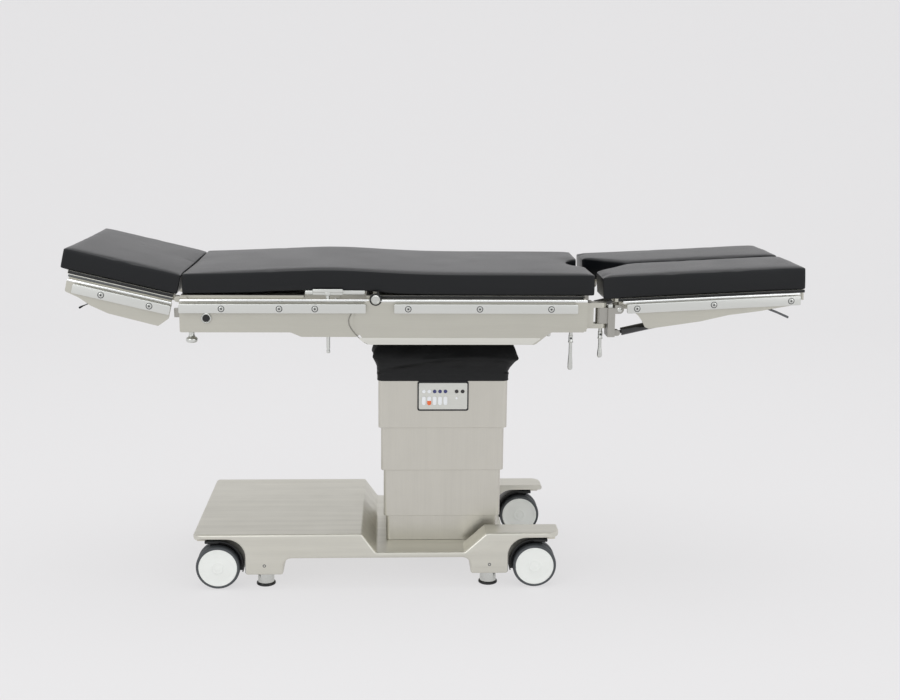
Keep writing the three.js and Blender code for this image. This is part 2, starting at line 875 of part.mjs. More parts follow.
function castorHousing(wheelX, stemX, sign) {
  const plateSpan = [sign * wheelY - forkThickness / 2, sign * wheelY + forkThickness / 2];
  const plateRoom = [plateSpan[0] - overrun, plateSpan[1] + overrun];
  const crownBottom = wheelZ + wheelRadius + hoodGap;
  const crownTop = crownBottom + crownThickness;
  const crownX = [stemX - crownHalfLength, stemX + crownHalfLength];
  const crownY = [sign * wheelY - crownHalfWidth, sign * wheelY + crownHalfWidth];
  const stemBase = archTop + coverWall;
  const plate = bar('y', hoodRadius, plateSpan, [wheelX, wheelZ], roundSides);
  const under = block(
    [wheelX - hoodRadius - overrun, wheelX + hoodRadius + overrun],
    plateRoom,
    [wheelZ - hoodRadius - overrun, wheelZ - axleRadius * 2],
  );
  const axleHole = bar('y', axleRadius + seatGap * 2, plateRoom, [wheelX, wheelZ], roundSides);
  return joined(
    cut(plate, under, axleHole),
    block(crownX, crownY, [crownBottom, crownTop]),
    bar('z', collarRadius, [crownBottom, stemBase], [stemX, sign * wheelY]),
    bar('z', stemRadius, [crownBottom, stemBase + stemLength], [stemX, sign * wheelY], smallSides),
  );
}

function castorWheel(wheelX, sign) {
  const half = wheelWidth / 2;
  const neck = forkThickness / 2 + seatGap;
  const outerHalf = [
    [0, half],
    [wheelHubRadius, half],
    [wheelDiscRadius, half - wheelDiscDepth / 2],
    [wheelDiscRadius, half - wheelDiscDepth],
    [wheelRadius, half - tyreEdgeRadius],
    [wheelRadius, neck + tyreEdgeRadius],
    [wheelRadius - tyreEdgeRadius, neck],
    [axleRadius, neck],
  ];
  const innerHalf = outerHalf.toReversed().map(([radius, height]) => [radius, -height]);
  const outline = [...outerHalf, ...innerHalf].map(([radius, y]) => new THREE.Vector2(radius, y));
  const wheel = new THREE.LatheGeometry(outline, wheelSides);
  wheel.translate(wheelX, sign * wheelY, wheelZ);
  return solidFrom(wheel);
}

for (const [side, sign] of tableSides) {
  for (const [end, wheelX, stemX] of castorPlaces) {
    addPiece(`castor_housing_${end}_${side}`, castorHousing(wheelX, stemX, sign), blackPlastic);
    addPiece(`castor_wheel_${end}_${side}`, castorWheel(wheelX, sign), whitePlastic);
  }
}

for (const [side, sign] of tableSides) {
  for (const [end, x] of footPlaces) {
    const foot = turned(
      [
        [0, 0],
        [footPadRadius - footPadEdge, 0],
        [footPadRadius, footPadEdge],
        [footPadRadius, footPadHeight - footPadEdge],
        [footRadius, footPadHeight],
        [footRadius, footLength],
        [0, footLength],
      ],
      x,
      sign * footY,
    );
    addPiece(`brake_foot_${end}_${side}`, foot, paleSteel);
  }
}

// Telescoping column: each inner cover has a lip at its top that runs in the next one out
function columnCover(half, outerHalf, heights) {
  const tube = squareTube(half, columnWall, columnCornerRadius, heights);
  if (!outerHalf) return tube;
  const lipHalf = outerHalf - columnWall - seatGap;
  const lip = squareTube(
    lipHalf,
    lipHalf - half + columnWall / 2,
    columnCornerRadius + lipHalf - half,
    [heights[1] - guideLipHeight, heights[1]],
  );
  return joined(tube, lip);
}

const footCoverTop = lowerCoverBottom + coverOverlap;
const lowerCoverTop = middleCoverBottom + coverOverlap;
const middleCoverTop = upperCoverBottom + coverOverlap;
addPiece(
  'column_foot_cover',
  columnCover(footCoverHalf, lowerCoverHalf, [lowDeckHeight + seatGap, footCoverTop]),
  steel,
);
addPiece(
  'lower_column_cover',
  columnCover(lowerCoverHalf, middleCoverHalf, [lowerCoverBottom, lowerCoverTop]),
  steel,
);
addPiece(
  'middle_column_cover',
  columnCover(middleCoverHalf, upperCoverHalf, [middleCoverBottom, middleCoverTop]),
  steel,
);
addPiece('upper_column_cover', columnCover(upperCoverHalf, 0, [upperCoverBottom, columnTop]), steel);

const flangeBottom = lowDeckHeight - coverWall;
addPiece(
  'lift_cylinder',
  turned(
    [
      [0, cylinderBottom],
      [cylinderRadius, cylinderBottom],
      [cylinderRadius, flangeBottom],
      [cylinderFlangeRadius, flangeBottom],
      [cylinderFlangeRadius, flangeBottom + cylinderFlangeThickness],
      [cylinderRadius, flangeBottom + cylinderFlangeThickness],
      [cylinderRadius, cylinderTop],
      [cylinderBore, cylinderTop],
      [cylinderBore, cylinderBottom + cylinderFloor],
      [0, cylinderBottom + cylinderFloor],
    ],
    0,
    0,
  ),
  darkMetal,
);

// The ram carries the head plate, and two ears that hold the tilting cross along X
const ramRadius = cylinderBore - seatGap;
const headPlateTopZ = columnTop - 2 * seatGap;
const earOuter = earInner + earThickness;
const tiltBore = tiltShaftRadius + seatGap;

function earAcrossX(sign, bottom) {
  const span = [sign * earInner, sign * earOuter];
  return joined(
    bar('x', earRadius, span, [0, tiltHeight]),
    block(span, [-earRadius, earRadius], [bottom, tiltHeight]),
  );
}

function earAcrossY(sign, top) {
  const span = [sign * earInner, sign * earOuter];
  return joined(
    bar('y', earRadius, span, [0, tiltHeight]),
    block([-earRadius, earRadius], span, [tiltHeight, top]),
  );
}

const headPlateHalf = upperCoverHalf - columnWall - seatGap;
const shaftRoom = [-earOuter - overrun, earOuter + overrun];
addPiece(
  'lift_ram',
  cut(
    joined(
      bar('z', ramRadius, [ramBottom, headPlateTopZ], [0, 0]),
      flatPlate(
        squareOutline(headPlateHalf, columnCornerRadius - columnWall),
        [headPlateTopZ - headPlateThickness, headPlateTopZ],
      ),
      earAcrossX(1, headPlateTopZ - headPlateThickness / 2),
      earAcrossX(-1, headPlateTopZ - headPlateThickness / 2),
    ),
    bar('x', tiltBore, shaftRoom, [0, tiltHeight]),
  ),
  darkMetal,
);

function controlPanel() {
  const face = -upperCoverHalf - seatGap;
  const front = face - panelThickness;
  const middleZ = panelTop - panelHeight / 2;
  const rectangle = (halfX, halfZ, radius) => roundedOutline([
    [-halfX, middleZ - halfZ, radius],
    [halfX, middleZ - halfZ, radius],
    [halfX, middleZ + halfZ, radius],
    [-halfX, middleZ + halfZ, radius],
  ]);
  const plateHalfX = panelHalfWidth - facePlateMargin;
  const plateHalfZ = panelHeight / 2 - facePlateMargin;
  const plateFront = front - facePlateStand;
  const keyFront = plateFront - keyStand;
  const keys = [];
  for (let n = 0; n < keyColumns; n += 1) {
    const x = firstKeyX + n * keyPitch;
    keys.push(bar('y', keyRadius, [keyFront, front], [x, panelTop - keyRowDrop], smallSides));
    keys.push(
      block(
        [x - pillHalfWidth, x + pillHalfWidth],
        [keyFront, front],
        [panelTop - pillRowDrop - pillHalfHeight, panelTop - pillRowDrop + pillHalfHeight],
      ),
    );
  }
  for (const x of [lockKeyX, lockKeyX + lockKeyPitch]) {
    keys.push(bar('y', keyRadius, [keyFront, front], [x, panelTop - keyRowDrop], smallSides));
  }
  return joined(
    sidePlate(rectangle(panelHalfWidth, panelHeight / 2, panelCornerRadius), [face, front]),
    sidePlate(rectangle(plateHalfX, plateHalfZ, panelCornerRadius), [front, plateFront]),
    ...keys,
  );
}

addPiece('control_panel', controlPanel(), blackPlastic);

// A ring-shaped cloth wall lofted through rounded squares: out, up, in and down again
function columnBoot() {
  const bandBottom = columnTop - bootBandHeight + 2 * seatGap;
  const bandHalf = upperCoverHalf + seatGap;
  const bootBottom = columnTop + 2 * seatGap;
  const bootTop = tiltHeight + carriageRise - seatGap;
  const rings = [[bandHalf, bandBottom], [bandHalf, bootBottom]];
  bootRiseShares.slice(1).forEach((share, n) => {
    const spread = bootSpreadShares[n + 1] * bootBulge;
    rings.push([bandHalf + spread, bootBottom + share * (bootTop - bootBottom)]);
  });
  const loops = [
    ...rings.map(([half, z]) => [half + bootWall, z]),
    ...rings.reverse().map(([half, z]) => [half, z]),
  ];
  const points = [];
  const faces = [];
  let count = 0;
  for (const [half, z] of loops) {
    const spread = Math.max(half - upperCoverHalf, 0);
    const outline = squareOutline(half, columnCornerRadius + spread, cornerSteps);
    count = outline.length;
    outline.forEach((p) => points.push(p.x, p.y, z));
  }
  loops.forEach((_, row) => {
    const next = (row + 1) % loops.length;
    for (let n = 0; n < count; n += 1) {
      const after = (n + 1) % count;
      const [a, b, c, d] = [row * count + n, row * count + after, next * count + after, next * count + n];
      faces.push(a, b, c, a, c, d);
    }
  });
  const geometry = new THREE.BufferGeometry();
  geometry.setAttribute('position', new THREE.Float32BufferAttribute(points, 3));
  geometry.setIndex(faces);
  return solidFrom(geometry);
}

addPiece('column_boot', columnBoot(), blackCloth);

// Tilting cross: one shaft along X in the ram's ears, one along Y in the carriage's ears
const shaftEnd = earOuter - shaftEndGap;
addPiece(
  'tilt_cross',
  joined(
    block(
      [-crossHalf, crossHalf],
      [-crossHalf, crossHalf],
      [tiltHeight - crossHalfHeight, tiltHeight + crossHalfHeight],
    ),
    bar('x', tiltShaftRadius, [-shaftEnd, shaftEnd], [0, tiltHeight]),
    bar('y', tiltShaftRadius, [-shaftEnd, shaftEnd], [0, tiltHeight]),
  ),
  darkMetal,
);

function tableCarriage() {
  const plateBottom = tiltHeight + carriageRise;
  const plateUp = plateBottom + carriagePlateThickness;
  const plate = flatPlate(squareOutline(carriageHalf, columnCornerRadius), [plateBottom, plateUp]);
  const beams = tableSides.map(([, sign]) => block(
    [-beamLength / 2, beamLength / 2],
    [sign * beamY, sign * (beamY + beamWidth)],
    [plateBottom, slidePlane],
  ));
  return cut(
    joined(plate, earAcrossY(1, plateUp), earAcrossY(-1, plateUp), ...beams),
    bar('y', tiltBore, shaftRoom, [0, tiltHeight]),
  );
}

addPiece('table_carriage', tableCarriage(), darkMetal);

// An accessory rail on spacers, along X, in the frame of its own section
function accessoryRail([start, end], centre, screwShares, face, sign) {
  const half = railHeight / 2;
  const railInner = railFace - railThickness;
  const outline = roundedOutline([
    [start, centre - half, railCornerRadius],
    [end, centre - half, railCornerRadius],
    [end, centre + half, railCornerRadius],
    [start, centre + half, railCornerRadius],
  ]);
  const spacers = screwShares.map((share) => bar(
    'y',
    spacerRadius,
    [sign * (face + seatGap), sign * (railInner + railThickness / 2)],
    [start + share * (end - start), centre],
    smallSides,
  ));
  return joined(sidePlate(outline, [sign * railInner, sign * railFace]), ...spacers);
}

// Seat section
const boardBottom = boardTop - boardThickness;

function notchOutline(end, halfWidth, depth) {
  const radius = (halfWidth * halfWidth + depth * depth) / (2 * depth);
  return bar(
    'z',
    radius,
    [seatPlateBottom, boardTop + cushionThickness + overrun],
    [end - depth + radius, 0],
    roundSides * 2,
  );
}

function seatSide() {
  return roundedOutline([
    [seatHeadEdge, plateTop - seatHeadCurve, seatHeadCurve, 4],
    [seatHeadEdge + seatHeadCurve, seatPlateBottom, seatHeadCurve / 2, 4],
    [seatStepStart, seatPlateBottom, plateCornerRadius],
    [seatStepEnd, seatStepHeight, plateCornerRadius],
    [seatPlateEnd, seatStepHeight, plateCornerRadius],
    [seatPlateEnd, plateTop],
    [backHingeX, plateTop],
    [seatHeadEdge + seatHeadCurve, plateTop, seatHeadCurve / 2, 4],
  ]);
}

function seatFrame() {
  const inside = plateFace - plateThickness;
  const board = cut(
    block([seatBoardStart, seatBoardEnd], [-boardHalf, boardHalf], [boardBottom, boardTop]),
    notchOutline(seatPadEnd, notchHalfWidth + notchBoardMargin, notchDepth + notchBoardMargin),
  );
  const endPlate = block(
    [seatBoardEnd - endPlateThickness, seatBoardEnd],
    [-inside - plateThickness / 2, inside + plateThickness / 2],
    [seatStepHeight + plateThickness, boardBottom + boardThickness / 2],
  );
  const webs = [];
  const bores = [notchOutline(
    seatPadEnd,
    notchHalfWidth + notchBoardMargin,
    notchDepth + notchBoardMargin,
  )];
  const webStart = backHingeX + hingeLugRadius + 2 * seatGap;
  for (const [, sign] of tableSides) {
    webs.push(sidePlate(seatSide(), [sign * inside, sign * plateFace]));
    webs.push(bar('y', hingeLugRadius, [sign * inside, sign * plateFace], [backHingeX, backHingeZ]));
    webs.push(
      bar(
        'y',
        hingePinRadius,
        [sign * (backPlateFace - plateThickness), sign * plateFace],
        [backHingeX, backHingeZ],
      ),
    );
    webs.push(
      bar(
        'y',
        hingeCapRadius,
        [sign * plateFace, sign * (plateFace + hingeCapThickness)],
        [backHingeX, backHingeZ],
      ),
    );
    const topWeb = [sign * (boardHalf - plateThickness), sign * (inside + plateThickness / 2)];
    webs.push(block([webStart, seatBoardEnd], topWeb, [boardBottom - plateThickness, boardBottom + lap]));
    const runner = [
      sign * (beamY + (beamWidth - runnerWidth) / 2),
      sign * (beamY + (beamWidth + runnerWidth) / 2),
    ];
    webs.push(block([seatBoardStart, seatBoardEnd], runner, [slidePlane + seatGap, boardBottom + lap]));
    const blockSpan = [sign * socketBlockInner, sign * socketBlockOuter];
    webs.push(block([socketBlockStart, seatPlateEnd], blockSpan, [seatStepHeight, clevisTop]));
    webs.push(block([seatBoardEnd, clevisRoot], blockSpan, [cheekBottom, clevisTop]));
    const clevisSpan = [sign * (splayY - clevisHalf), sign * (splayY + clevisHalf)];
    for (const zs of [[clevisBottom, knuckleBottom - seatGap], [knuckleTop + seatGap, clevisTop]]) {
      webs.push(block([clevisRoot - overrun, splayX], clevisSpan, zs));
      webs.push(bar('z', clevisHalf, zs, [splayX, sign * splayY]));
    }
    const pinSpan = [knuckleBottom - seatGap * 2, clevisTop];
    webs.push(bar('z', splayPinRadius, pinSpan, [splayX, sign * splayY]));
    bores.push(
      bar(
        'z',
        screwStemRadius + seatGap,
        [seatScrewTop, seatScrewTop + screwStemLength + seatGap],
        [seatScrewX, sign * splayY],
        smallSides,
      ),
      bar(
        'z',
        screwStemRadius + seatGap,
        [clevisBottom - overrun, legScrewTop + screwStemLength / 2 + seatGap],
        [splayX, sign * splayY],
        smallSides,
      ),
    );
  }
  return cut(joined(board, endPlate, ...webs), ...bores);
}

addPiece('seat_frame', seatFrame(), steel);
for (const [side, sign] of tableSides) {
  addPiece(
    `seat_rail_${side}`,
    accessoryRail([seatRailStart, seatRailEnd], railCentre, seatScrewShares, plateFace, sign),
    paleSteel,
  );
}

// Back section
function backSide() {
  return roundedOutline([
    [backHeadEdge, plateTop, railCornerRadius],
    [backHeadEdge, backPlateBottom, railCornerRadius],
    [backStepStart, backPlateBottom, plateCornerRadius],
    [backStepEnd, backDeepBottom, plateCornerRadius],
    [backDeepEnd, backDeepBottom, plateCornerRadius],
    [backNeck, backNeckHeight, plateCornerRadius],
    [backHingeX, plateTop],
  ]);
}

function backFrame() {
  const inside = backPlateFace - plateThickness;
  const boardZ = [boardBottom, boardTop];
  const backBoardHead = headHingeX + headLugRadius + 2 * seatGap;
  const pieces = [
    block([backBoardHead, bridgeStart - bridgeRoom], [-boardHalf, boardHalf], boardZ),
    block([bridgeEnd + bridgeRoom, backBoardEnd], [-boardHalf, boardHalf], boardZ),
  ];
  const bores = [];
  for (const [, sign] of tableSides) {
    const plateSpan = [sign * inside, sign * backPlateFace];
    pieces.push(sidePlate(backSide(), plateSpan));
    pieces.push(bar('y', hingeLugRadius, plateSpan, [backHingeX, backHingeZ]));
    bores.push(
      bar(
        'y',
        hingePinRadius + seatGap,
        [sign * (inside - overrun), sign * (plateFace)],
        [backHingeX, backHingeZ],
      ),
    );
    const topWeb = [sign * (boardHalf - plateThickness), sign * (inside + plateThickness / 2)];
    const webZ = [boardBottom - plateThickness, boardBottom + lap];
    pieces.push(block([backHeadEdge, bridgeStart - bridgeRoom], topWeb, webZ));
    pieces.push(block([bridgeEnd + bridgeRoom, backBoardEnd], topWeb, webZ));
    const guideSpan = [sign * guideInner, sign * (inside + plateThickness / 2)];
    for (const top of [lowGuideTop, highGuideTop]) {
      pieces.push(
        block(
          [bridgeRodX - guideHalfLength, bridgeRodX + guideHalfLength],
          guideSpan,
          [top - guideHeight, top],
        ),
      );
    }
    bores.push(
      bar(
        'z',
        bridgeRodRadius + seatGap,
        [bridgeRodBottom, boardTop],
        [bridgeRodX, sign * bridgeRodY],
        smallSides,
      ),
    );
    const lugSpan = [sign * backLugY, sign * (backLugY + headLugThickness)];
    pieces.push(bar('y', headLugRadius, lugSpan, [headHingeX, headHingeZ], smallSides));
    pieces.push(
      block(
        [headHingeX, backHeadEdge + overrun],
        lugSpan,
        [headHingeZ - headLugRadius, headHingeZ + headLugRadius],
      ),
    );
    const pinSpan = [sign * (headLugY - headLugThickness / 4), sign * (backLugY + headLugThickness / 2)];
    pieces.push(bar('y', headPinRadius, pinSpan, [headHingeX, headHingeZ], smallSides));
    const knobSpan = [sign * (knobY - knobBlockHalf), sign * (knobY + knobBlockHalf)];
    pieces.push(
      block(
        [knobX - knobBlockHalf, knobX + knobBlockHalf],
        knobSpan,
        [boardBottom - knobBlockHeight, boardBottom + lap],
      ),
    );
  }
  const knobNeckTop = boardBottom - knobBlockHeight - seatGap;
  bores.push(
    bar(
      'z',
      knobStemRadius + seatGap,
      [knobNeckTop - overrun, knobNeckTop + knobStemLength + 2 * seatGap],
      [knobX, -knobY],
      smallSides,
    ),
  );
  pieces.push(
    bar('y', socketRingRadius, [-inside, -(backPlateFace + socketDepth)], [socketX, socketZ]),
  );
  bores.push(
    bar(
      'y',
      socketHoleRadius,
      [-(inside - overrun), -(backPlateFace + socketDepth + overrun)],
      [socketX, socketZ],
    ),
  );
  return cut(joined(...pieces), ...bores);
}

addPiece('back_frame', backFrame(), steel);
for (const [side, sign] of tableSides) {
  addPiece(
    `back_rail_${side}`,
    accessoryRail([backRailStart, backRailEnd], railCentre, backScrewShares, backPlateFace, sign),
    paleSteel,
  );
}

// Kidney bridge: a cross plate on two rods that slide in the back frame's guides
function kidneyBridge() {
  const top = bridgeBottom + bridgeThickness;
  const pieces = [block([bridgeStart, bridgeEnd], [-boardHalf, boardHalf], [bridgeBottom, top])];
  for (const [, sign] of tableSides) {
    pieces.push(
      block(
        [bridgeRodX - bridgeBarHalf, bridgeRodX + bridgeBarHalf],
        [sign * (boardHalf - overrun), sign * bridgeBarOuter],
        [bridgeBottom, top - seatGap],
      ),
      block(
        [bridgeRodX - bridgeBarHalf, bridgeRodX + bridgeBarHalf],
        [sign * bridgeBarInner, sign * bridgeBarOuter],
        [bridgeBottom, bridgeBarTop],
      ),
      bar('z', bridgeRodRadius, [bridgeRodBottom, top], [bridgeRodX, sign * bridgeRodY], smallSides),
    );
  }
  return joined(...pieces);
}

addPiece('kidney_bridge', kidneyBridge(), paleSteel);

const knobNeckTop = boardBottom - knobBlockHeight - seatGap;
addPiece(
  'head_clamp_knob',
  turned(
    [
      [0, knobTop - knobHeight],
      [knobRadius - seatGap, knobTop - knobHeight],
      [knobRadius, knobTop - knobHeight / 2],
      [knobRadius, knobTop],
      [knobNeckRadius, knobTop],
      [knobNeckRadius, knobNeckTop],
      [knobStemRadius, knobNeckTop],
      [knobStemRadius, knobNeckTop + knobStemLength],
      [0, knobNeckTop + knobStemLength],
    ],
    knobX,
    -knobY,
    smallSides,
  ),
  blackPlastic,
);

// Head section, built level about its hinge and then raised to its slope
const head = new THREE.Group();
head.position.set(headHingeX, 0, headHingeZ);
head.rotation.y = THREE.MathUtils.degToRad(headSlopeDegrees);
table.add(head);

function headSide() {
  const lowEdge = headPlateRunShares.map((run, n) => {
    const drop = headPlateDropShares[n];
    return [-headPlateEnd * run, headPlateLow * drop, railCornerRadius];
  });
  return roundedOutline([
    [-headLugRadius - 2 * seatGap, headPlateTop],
    [-headPlateEnd, headPlateTop, railCornerRadius],
    [-headPlateEnd, headPlateOuterLow, railCornerRadius],
    ...lowEdge,
    [-headLugRadius - 2 * seatGap, headPlateLow * headPlateHingeShare, railCornerRadius],
  ]);
}

function headFrame() {
  const inside = plateFace - plateThickness;
  const bottom = boardBottom - headHingeZ;
  const top = boardTop - headHingeZ;
  const pieces = [block(
    [-headBoardEnd, -headBoardStart - headLugRadius],
    [-boardHalf, boardHalf],
    [bottom, top],
  )];
  const bores = [];
  for (const [, sign] of tableSides) {
    pieces.push(sidePlate(headSide(), [sign * inside, sign * plateFace]));
    pieces.push(
      block(
        [-headPlateEnd, -headBoardStart - headLugRadius],
        [sign * (boardHalf - plateThickness), sign * (inside + plateThickness / 2)],
        [headPlateTop - plateThickness, headPlateTop],
      ),
      block(
        [-headPlateEnd, -headBoardStart - headLugRadius],
        [sign * (boardHalf - plateThickness), sign * boardHalf],
        [headPlateTop - plateThickness, bottom + lap],
      ),
    );
    const lugSpan = [sign * (headLugY - headLugThickness), sign * headLugY];
    pieces.push(bar('y', headLugRadius, lugSpan, [0, 0], smallSides));
    pieces.push(block([-overrun, 0], lugSpan, [-headLugRadius, headLugRadius - lap]));
    bores.push(
      bar(
        'y',
        headPinRadius + seatGap,
        [sign * (headLugY - headLugThickness - overrun), sign * (headLugY + lap)],
        [0, 0],
        smallSides,
      ),
    );
    const earSpan = [
      sign * (headLeverY + headLeverWidth / 2 + seatGap),
      sign * (inside + plateThickness / 2),
    ];
    pieces.push(
      bar(
        'y',
        leverPinRadius,
        [sign * (headLeverY - headLeverWidth / 2), earSpan[1]],
        [-headLeverPivot, headLeverPivotDrop],
        smallSides,
      ),
    );
  }
  return cut(joined(...pieces), ...bores);
}

addPiece('head_frame', headFrame(), steel, head);
for (const [side, sign] of tableSides) {
  addPiece(
    `head_rail_${side}`,
    accessoryRail(
      [-headRailEnd, -headRailStart],
      headRailCentre,
      headScrewShares,
      plateFace,
      sign,
    ),
    paleSteel,
    head,
  );
}

// A flat lever blade that turns on a pin along Y, through the given points
function leverBlade(points, y, width, eye) {
  const half = leverBladeThickness / 2;
  const upper = points.map(([x, z]) => [x, z + half]);
  const lower = points.map(([x, z]) => [x, z - half]).reverse();
  const blade = sidePlate(roundedOutline([...upper, ...lower]), [y - width / 2, y + width / 2]);
  const boss = bar('y', leverEyeRadius, [y - width / 2, y + width / 2], eye, smallSides);
  const hole = bar('y', leverPinRadius + seatGap, [y - width, y + width], eye, smallSides);
  return cut(joined(blade, boss), hole);
}

addPiece(
  'head_release_lever',
  leverBlade(
    [[-headLeverPivot, headLeverPivotDrop], [-headLeverTip, headLeverTipDrop]],
    -headLeverY,
    headLeverWidth,
    [-headLeverPivot, headLeverPivotDrop],
  ),
  paleSteel,
  head,
);

// Leg sections, one each side, with their bracket, strut and levers
function legPlan(start, end, outer, inset, sign) {
  const inner = legInnerY + inset;
  const chamferEnd = start + legChamferLength;
  const corners = [
    [start, sign * outer, padCornerRadius, padCornerSteps],
    [end, sign * outer, padCornerRadius, padCornerSteps],
    [end, sign * inner, padCornerRadius, padCornerSteps],
    [chamferEnd, sign * inner, padCornerRadius * 2, padCornerSteps],
    [start, sign * (inner + legChamferWidth), padCornerRadius, padCornerSteps],
  ];
  return roundedOutline(sign < 0 ? corners : corners.reverse());
}

function legSide() {
  const lowEdge = legPlateRunShares.map((run, n) => {
    const drop = legPlateDropShares[n];
    return [legPlateEnd * run, legPlateLow * drop, railCornerRadius];
  });
  return roundedOutline([
    [legPlateStart, legPlateTop],
    ...lowEdge,
    [legPlateEnd, legPlateTop, railCornerRadius],
  ]);
}

function legFrame(sign) {
  const inside = plateFace - plateThickness;
  const boardUp = legBoardBottom + boardThickness;
  const inner = legInnerY + plateThickness;
  const lugHalf = (socketBlockOuter - socketBlockInner) / 2 - bracketEarThickness - seatGap;
  const lugMiddle = (socketBlockOuter + socketBlockInner) / 2;
  const lugSpan = [sign * (lugMiddle - lugHalf), sign * (lugMiddle + lugHalf)];
  const plan = legPlan(legBoardStart, legBoardEnd, boardHalf, plateThickness / 2, sign);
  const strutEnd = strutPlace(strutLength);
  const strutEars = [1, -1].map((way) => {
    const near = strutEyeThickness / 2 + lap;
    return block(
      [strutEnd[0] - strutLugHalf, strutEnd[0] + strutLugHalf],
      [sign * strutY + way * near, sign * strutY + way * (near + strutEarThickness)],
      [strutLugDrop, legBoardBottom + lap],
    );
  });
  const pieces = [
    flatPlate(plan, [legBoardBottom, boardUp]),
    sidePlate(legSide(), [sign * inside, sign * plateFace]),
    block(
      [legPlateStart, legPlateEnd],
      [sign * (boardHalf - plateThickness), sign * (inside + lap)],
      [legPlateTop - plateThickness, legPlateTop],
    ),
    block(
      [legPlateStart, legPlateEnd],
      [sign * (boardHalf - plateThickness), sign * boardHalf],
      [legPlateTop - plateThickness, legBoardBottom + lap],
    ),
    block(
      [legChamferLength, legBoardEnd - legEndThickness],
      [sign * inner, sign * (inner + plateThickness)],
      [0, legBoardBottom + lap],
    ),
    block(
      [legBoardEnd - 2 * legEndThickness, legBoardEnd - legEndThickness],
      [sign * inner, sign * boardHalf],
      [0, legBoardBottom + lap],
    ),
    bar('y', legLugRadius, lugSpan, [0, 0]),
    block([0, legLugLength], lugSpan, [0, legBoardBottom + lap]),
    ...strutEars,
    bar(
      'y',
      leverPinRadius,
      [sign * (legLeverY - legLeverWidth / 2), sign * (inside + lap)],
      [legLeverPivot, legLeverPivotDrop],
      smallSides,
    ),
  ];
  const pinHole = bar(
    'y',
    legPinRadius + seatGap,
    [lugSpan[0] - sign * lap, lugSpan[1] + sign * lap],
    [0, 0],
  );
  return cut(joined(...pieces), pinHole);
}

// The strut's place from the leg hinge, a given way along it, in the leg's own slope
function strutPlace(distance) {
  const slope = THREE.MathUtils.degToRad(strutSlopeDegrees - legSlopeDegrees);
  const turn = THREE.MathUtils.degToRad(legSlopeDegrees);
  const footX = strutPivotRun * Math.cos(turn) + strutPivotDrop * Math.sin(turn);
  const footZ = strutPivotDrop * Math.cos(turn) - strutPivotRun * Math.sin(turn);
  return [footX + distance * Math.cos(slope), footZ + distance * Math.sin(slope)];
}

function legBracket(sign) {
  const ears = [];
  const blockSpan = [sign * socketBlockInner, sign * socketBlockOuter];
  for (const [from, to] of [
    [socketBlockInner, socketBlockInner + bracketEarThickness],
    [socketBlockOuter - bracketEarThickness, socketBlockOuter],
  ]) {
    const span = [sign * from, sign * to];
    ears.push(bar('y', bracketEarRadius, span, [legHingeX, legHingeZ]));
    ears.push(
      block(
        [bracketPlateEnd - lap, legHingeX],
        span,
        [legHingeZ - bracketEarRadius, legHingeZ + bracketEarRadius],
      ),
    );
  }
  const pivotX = legHingeX + strutPivotRun;
  const pivotZ = legHingeZ + strutPivotDrop;
  for (const way of [1, -1]) {
    const near = strutEyeThickness / 2 + seatGap;
    const span = [sign * strutY + way * near, sign * strutY + way * (near + strutEarThickness)];
    ears.push(bar('y', strutEyeRadius, span, [pivotX, pivotZ], smallSides));
    ears.push(block(
      [bracketPlateEnd - lap, pivotX],
      span,
      [pivotZ - strutEyeRadius, pivotZ + strutEyeRadius],
    ));
  }
  const pinReach = strutEyeThickness / 2 + strutEarThickness;
  const knuckleSpan = [knuckleBottom, knuckleTop];
  return cut(
    joined(
      block([bracketPlateStart, bracketPlateEnd], blockSpan, [bracketPlateBottom, bracketPlateTop]),
      block(
        [splayX, bracketPlateStart + lap],
        [sign * (splayY - clevisHalf + lap), sign * (splayY + clevisHalf - lap)],
        knuckleSpan,
      ),
      bar('z', clevisHalf - lap, knuckleSpan, [splayX, sign * splayY]),
      ...ears,
      bar('y', legPinRadius, blockSpan, [legHingeX, legHingeZ]),
      bar(
        'y',
        strutPinRadius,
        [sign * strutY - pinReach, sign * strutY + pinReach],
        [pivotX, pivotZ],
        smallSides,
      ),
    ),
    bar(
      'z',
      splayPinRadius + seatGap,
      [knuckleBottom - overrun, knuckleTop + overrun],
      [splayX, sign * splayY],
    ),
  );
}

// A gas strut along X from its lower eye, later turned to its slope
function strutBody(sign) {
  const y = sign * strutY;
  const eyeSpan = [y - strutEyeThickness / 2, y + strutEyeThickness / 2];
  const bodyEnd = strutBodyStart + strutBodyLength;
  return cut(
    joined(
      bar('x', strutBodyRadius, [strutBodyStart, bodyEnd], [y, 0]),
      bar('y', strutEyeRadius, eyeSpan, [0, 0], smallSides),
      block([0, strutBodyStart + lap], eyeSpan, [-strutPinRadius, strutPinRadius]),
    ),
    bar('y', strutPinRadius + seatGap, [eyeSpan[0] - lap, eyeSpan[1] + lap], [0, 0], smallSides),
    bar(
      'x',
      strutRodRadius + seatGap,
      [strutBodyStart + strutBodyRadius, bodyEnd + overrun],
      [y, 0],
      smallSides,
    ),
  );
}

function strutRod(sign) {
  const y = sign * strutY;
  return joined(
    bar('x', strutRodRadius, [strutLength - strutRodLength, strutLength], [y, 0], smallSides),
    bar(
      'y',
      strutEyeRadius,
      [y - strutEyeThickness / 2, y + strutEyeThickness / 2],
      [strutLength, 0],
      smallSides,
    ),
  );
}

